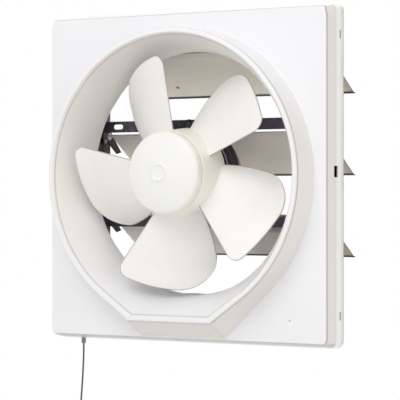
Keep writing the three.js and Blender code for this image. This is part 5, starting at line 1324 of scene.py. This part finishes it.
# ------------------------------------------------------------------ motor
class FAN_OT_motor(bpy.types.Operator):
    """Motor covers with their pressed steps and bearing seats, and the ears of the front cover"""

    bl_idname = "fan.motor"
    bl_label = "Motor"

    def execute(self, context):
        m = context.scene.fan_motor
        self.front(m)
        self.rear(m)
        return {"FINISHED"}

    def front(self, m):
        """A cup open to the rear, with a ring pressed into its face, a grooved wall and four ears."""
        low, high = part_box("motor_front_cover")
        f, flange = low.y + m.boss_proud, high.y - m.flange_thick
        groove = m.outer - 0.0007
        profile = np.array([
            [m.shaft_hole, low.y], [m.boss, low.y], [m.boss, f], [0.028, f], [0.029, f + 0.0008],
            [0.033, f + 0.0008], [0.034, f], [m.outer - 0.006, f], [m.outer - 0.0018, f + 0.0016],
            [m.outer, f + 0.005], [m.outer, f + 0.0098], [groove, f + 0.0104], [groove, f + 0.0118],
            [m.outer, f + 0.0124], [m.outer, flange], [m.flange, flange], [m.flange, high.y],
            [m.inner, high.y], [m.inner, f + 0.006], [m.inner - 0.003, f + 0.002],
            [m.seat_wall, f + 0.002], [m.seat_wall, f + 0.0048], [m.seat, f + 0.0048],
            [m.seat, f - 0.002], [m.shaft_hole, f - 0.002]])
        cup = turned(filleted(profile, 0.0006, 3, closed=True), 176, (0, AXIS_Z), closed=True)
        ears = [self.ear(m, side, row, flange, high.y) for side in (-1, 1) for row in (-1, 1)]
        piece("motor_front", [cup, *ears], "housing", ["motor_front_cover"], "motor_enamel")

    def rear(self, m):
        """A smaller cup open to the front, with a rim at its mouth and a closed boss."""
        low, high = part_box("motor_rear_cover")
        r, rear = m.rear, high.y - m.rear_proud
        profile = np.array([
            [r - 0.002, low.y], [r + 0.0008, low.y], [r + 0.0008, low.y + 0.002], [r, low.y + 0.002],
            [r, rear - 0.005], [r - 0.002, rear - 0.0016], [r - 0.006, rear], [m.boss, rear],
            [m.boss, high.y], [0, high.y], [0, rear + 0.001], [m.seat, rear + 0.001],
            [m.seat, rear - 0.0058], [m.seat_wall, rear - 0.0058], [m.seat_wall, rear - 0.002],
            [r - 0.005, rear - 0.002], [r - 0.002, rear - 0.006], [r - 0.002, low.y]])
        pot = turned(profile, 160, (0, AXIS_Z))
        piece("motor_rear", [pot], "housing", ["motor_rear_cover"], "motor_enamel")

    def ear(self, m, side, row, low_y, high_y):
        """A rounded ear whose foot follows the cover's round wall, just inside it."""
        x, z, half, wall = side * m.ear_x, row * m.ear_z, m.ear_radius, m.outer - 0.0004
        a = np.linspace(0, math.pi, 17)
        end = np.stack([x + half * np.cos(a), z + row * half * np.sin(a)], -1)
        foot_x = x + half * np.linspace(-1, 1, 9)
        foot = np.stack([foot_x, row * np.sqrt(wall**2 - foot_x**2)], -1)
        outline = np.concatenate([end, foot]) + [0, AXIS_Z]
        return extruded(outline, low_y, high_y, "y")


# ------------------------------------------------------------------ shutters
def arc(centre, radius, start, end, count):
    """Points of a circle between two angles."""
    a = np.linspace(start, end, count)
    return np.stack([centre[0] + radius * np.cos(a), centre[1] + radius * np.sin(a)], -1)


class FAN_OT_shutters(bpy.types.Operator):
    """Three shutters of bent sheet, each with a rounded bend, a lip, two ears and an arm for the link bar"""

    bl_idname = "fan.shutters"
    bl_label = "Shutters"

    def execute(self, context):
        s = context.scene.fan_shutters
        for number, body in enumerate(("top_shutter", "middle_shutter", "low_shutter"), 1):
            self.shutter(s, number, body, JOINTS[f"shutter_{number}_hinge"]["pos_m"][1:])
        return {"FINISHED"}

    def shutter(self, s, number, body, hinge):
        """The leaf is a bent line in Y and Z, given its thickness and carried along X. Its left end has no
        bend, so that it clears the link bar."""
        thick, half = s.thick, s.half
        down = np.array([math.sin(s.open), -math.cos(s.open)])
        inward = np.array([-math.cos(s.open), -math.sin(s.open)])
        edge = down * s.width
        line = filleted([[-s.flange, s.flange_up], [-s.flange, 0], [0, 0], edge, edge + [s.lip, 0]],
                        [0, 0.0009, 0.0022, 0.0014, 0], 6)
        inner = half - thick
        notch = -inner + s.short
        bend = 0.0045
        short = line[(np.linalg.norm(line, axis=1) > bend) & (line[:, 0] > 0)]
        ear = np.concatenate([arc((0, 0), s.ear_radius, math.radians(35), math.radians(215), 19),
                              [down * 0.024 + inward * s.ear_radius, down * 0.030]])
        heading = math.pi + s.link
        quarter = math.pi / 2
        rivet = s.arm * np.array([math.cos(heading), math.sin(heading)])
        arm = np.concatenate([arc((0, 0), s.arm_radius, heading + quarter, heading + 3 * quarter, 11),
                              arc(rivet, s.rivet_radius, heading - quarter, heading + quarter, 13)])
        leaves = [(sheet_outline(line, thick), notch, inner), (sheet_outline(short, thick), -inner, notch)]
        arms = [(ear, inner, half), (ear, -half, -inner), (arm, -half, -inner - 0.0001)]
        shapes = [extruded(outline + hinge, low, high, "x") for outline, low, high in leaves + arms]
        sizes = [len(shape[0]) for shape in shapes]
        points = np.concatenate([shape[0] for shape in shapes])
        across = np.clip((points[:, 1:] - hinge) @ down / s.width, 0, 1)
        across[sum(sizes[:2]):] *= 0.9
        is_arm = np.repeat([0.0, 0.0, 0.0, 1.0, 1.0], sizes)
        piece(f"shutter_leaf_{number}", shapes, body, [f"shutter_{number}"], "shutter_enamel", crease=30,
              attributes={"across": across, "arm": is_arm})


# ------------------------------------------------------------------ carried-over parts
class FAN_OT_small_parts(bpy.types.Operator):
    """Finishes for the parts whose shape comes straight from the model"""

    bl_idname = "fan.small_parts"
    bl_label = "Frame, stays and small parts"

    def execute(self, context):
        finishes = {
            "body_frame": "body_enamel", "motor_stay_upper": "stay_enamel", "motor_stay_lower": "stay_enamel",
            "bearing_front": "bright_steel", "bearing_rear": "bright_steel", "stator_core": "core_steel",
            "rotor_core": "core_steel", "winding_front": "winding_copper", "winding_rear": "winding_copper",
            "motor_shaft": "bright_steel", "drive_pin": "bright_steel", "link_bar": "link_enamel",
            "switch_box": "black_plastic", "capacitor": "black_plastic", "terminal_block": "cream_plastic",
            "motor_lead": "lead_rubber", "pull_lever": "nylon", "lever_pin": "bright_steel",
            "return_spring": "bright_steel", "cord_guide": "guide_plastic",
        }
        for node in frame["nodes"]:
            if node.startswith(("motor_screw", "stay_screw", "panel_clip_low")):
                finishes[node] = "link_enamel"
            elif node.startswith(("panel_clip", "link_rivet")):
                finishes[node] = "bright_steel"
            elif "_pin_" in node:
                finishes[node] = "nylon"
        for node, name in finishes.items():
            finish_node(node, name)
        return {"FINISHED"}


class FAN_PT_panel(bpy.types.Panel):
    """Lists the steps that build the fan"""

    bl_idname = "FAN_PT_panel"
    bl_label = "Exhaust fan"
    bl_space_type = "VIEW_3D"
    bl_region_type = "UI"
    bl_category = "Exhaust fan"

    def draw(self, context):
        for operator in OPERATORS:
            self.layout.operator(operator.bl_idname)


SETTINGS = {
    "fan_panel": FanPanelSizes, "fan_rotor": FanRotorSizes, "fan_motor": FanMotorSizes,
    "fan_shutters": FanShutterSizes, "fan_cord": FanCordSizes, "fan_colours": FanColours,
    "fan_stage": FanStageSettings,
}
OPERATORS = (
    FAN_OT_stage, FAN_OT_cord, FAN_OT_panel, FAN_OT_rotor, FAN_OT_motor, FAN_OT_shutters, FAN_OT_small_parts,
)


def register():
    """Registers the settings, the steps and the panel."""
    for group in (*SETTINGS.values(), *OPERATORS, FAN_PT_panel):
        bpy.utils.register_class(group)
    for name, group in SETTINGS.items():
        setattr(bpy.types.Scene, name, bpy.props.PointerProperty(type=group))


def unregister():
    """Takes out what register put in, in reverse."""
    for name in SETTINGS:
        delattr(bpy.types.Scene, name)
    for group in (FAN_PT_panel, *OPERATORS[::-1], *reversed(list(SETTINGS.values()))):
        bpy.utils.unregister_class(group)


def main():
    register()
    for operator in OPERATORS:
        area, step = operator.bl_idname.split(".")
        if getattr(getattr(bpy.ops, area), step)() != {"FINISHED"}:
            raise RuntimeError(f"{operator.bl_idname} did not finish")


if __name__ == "__main__":
    main()
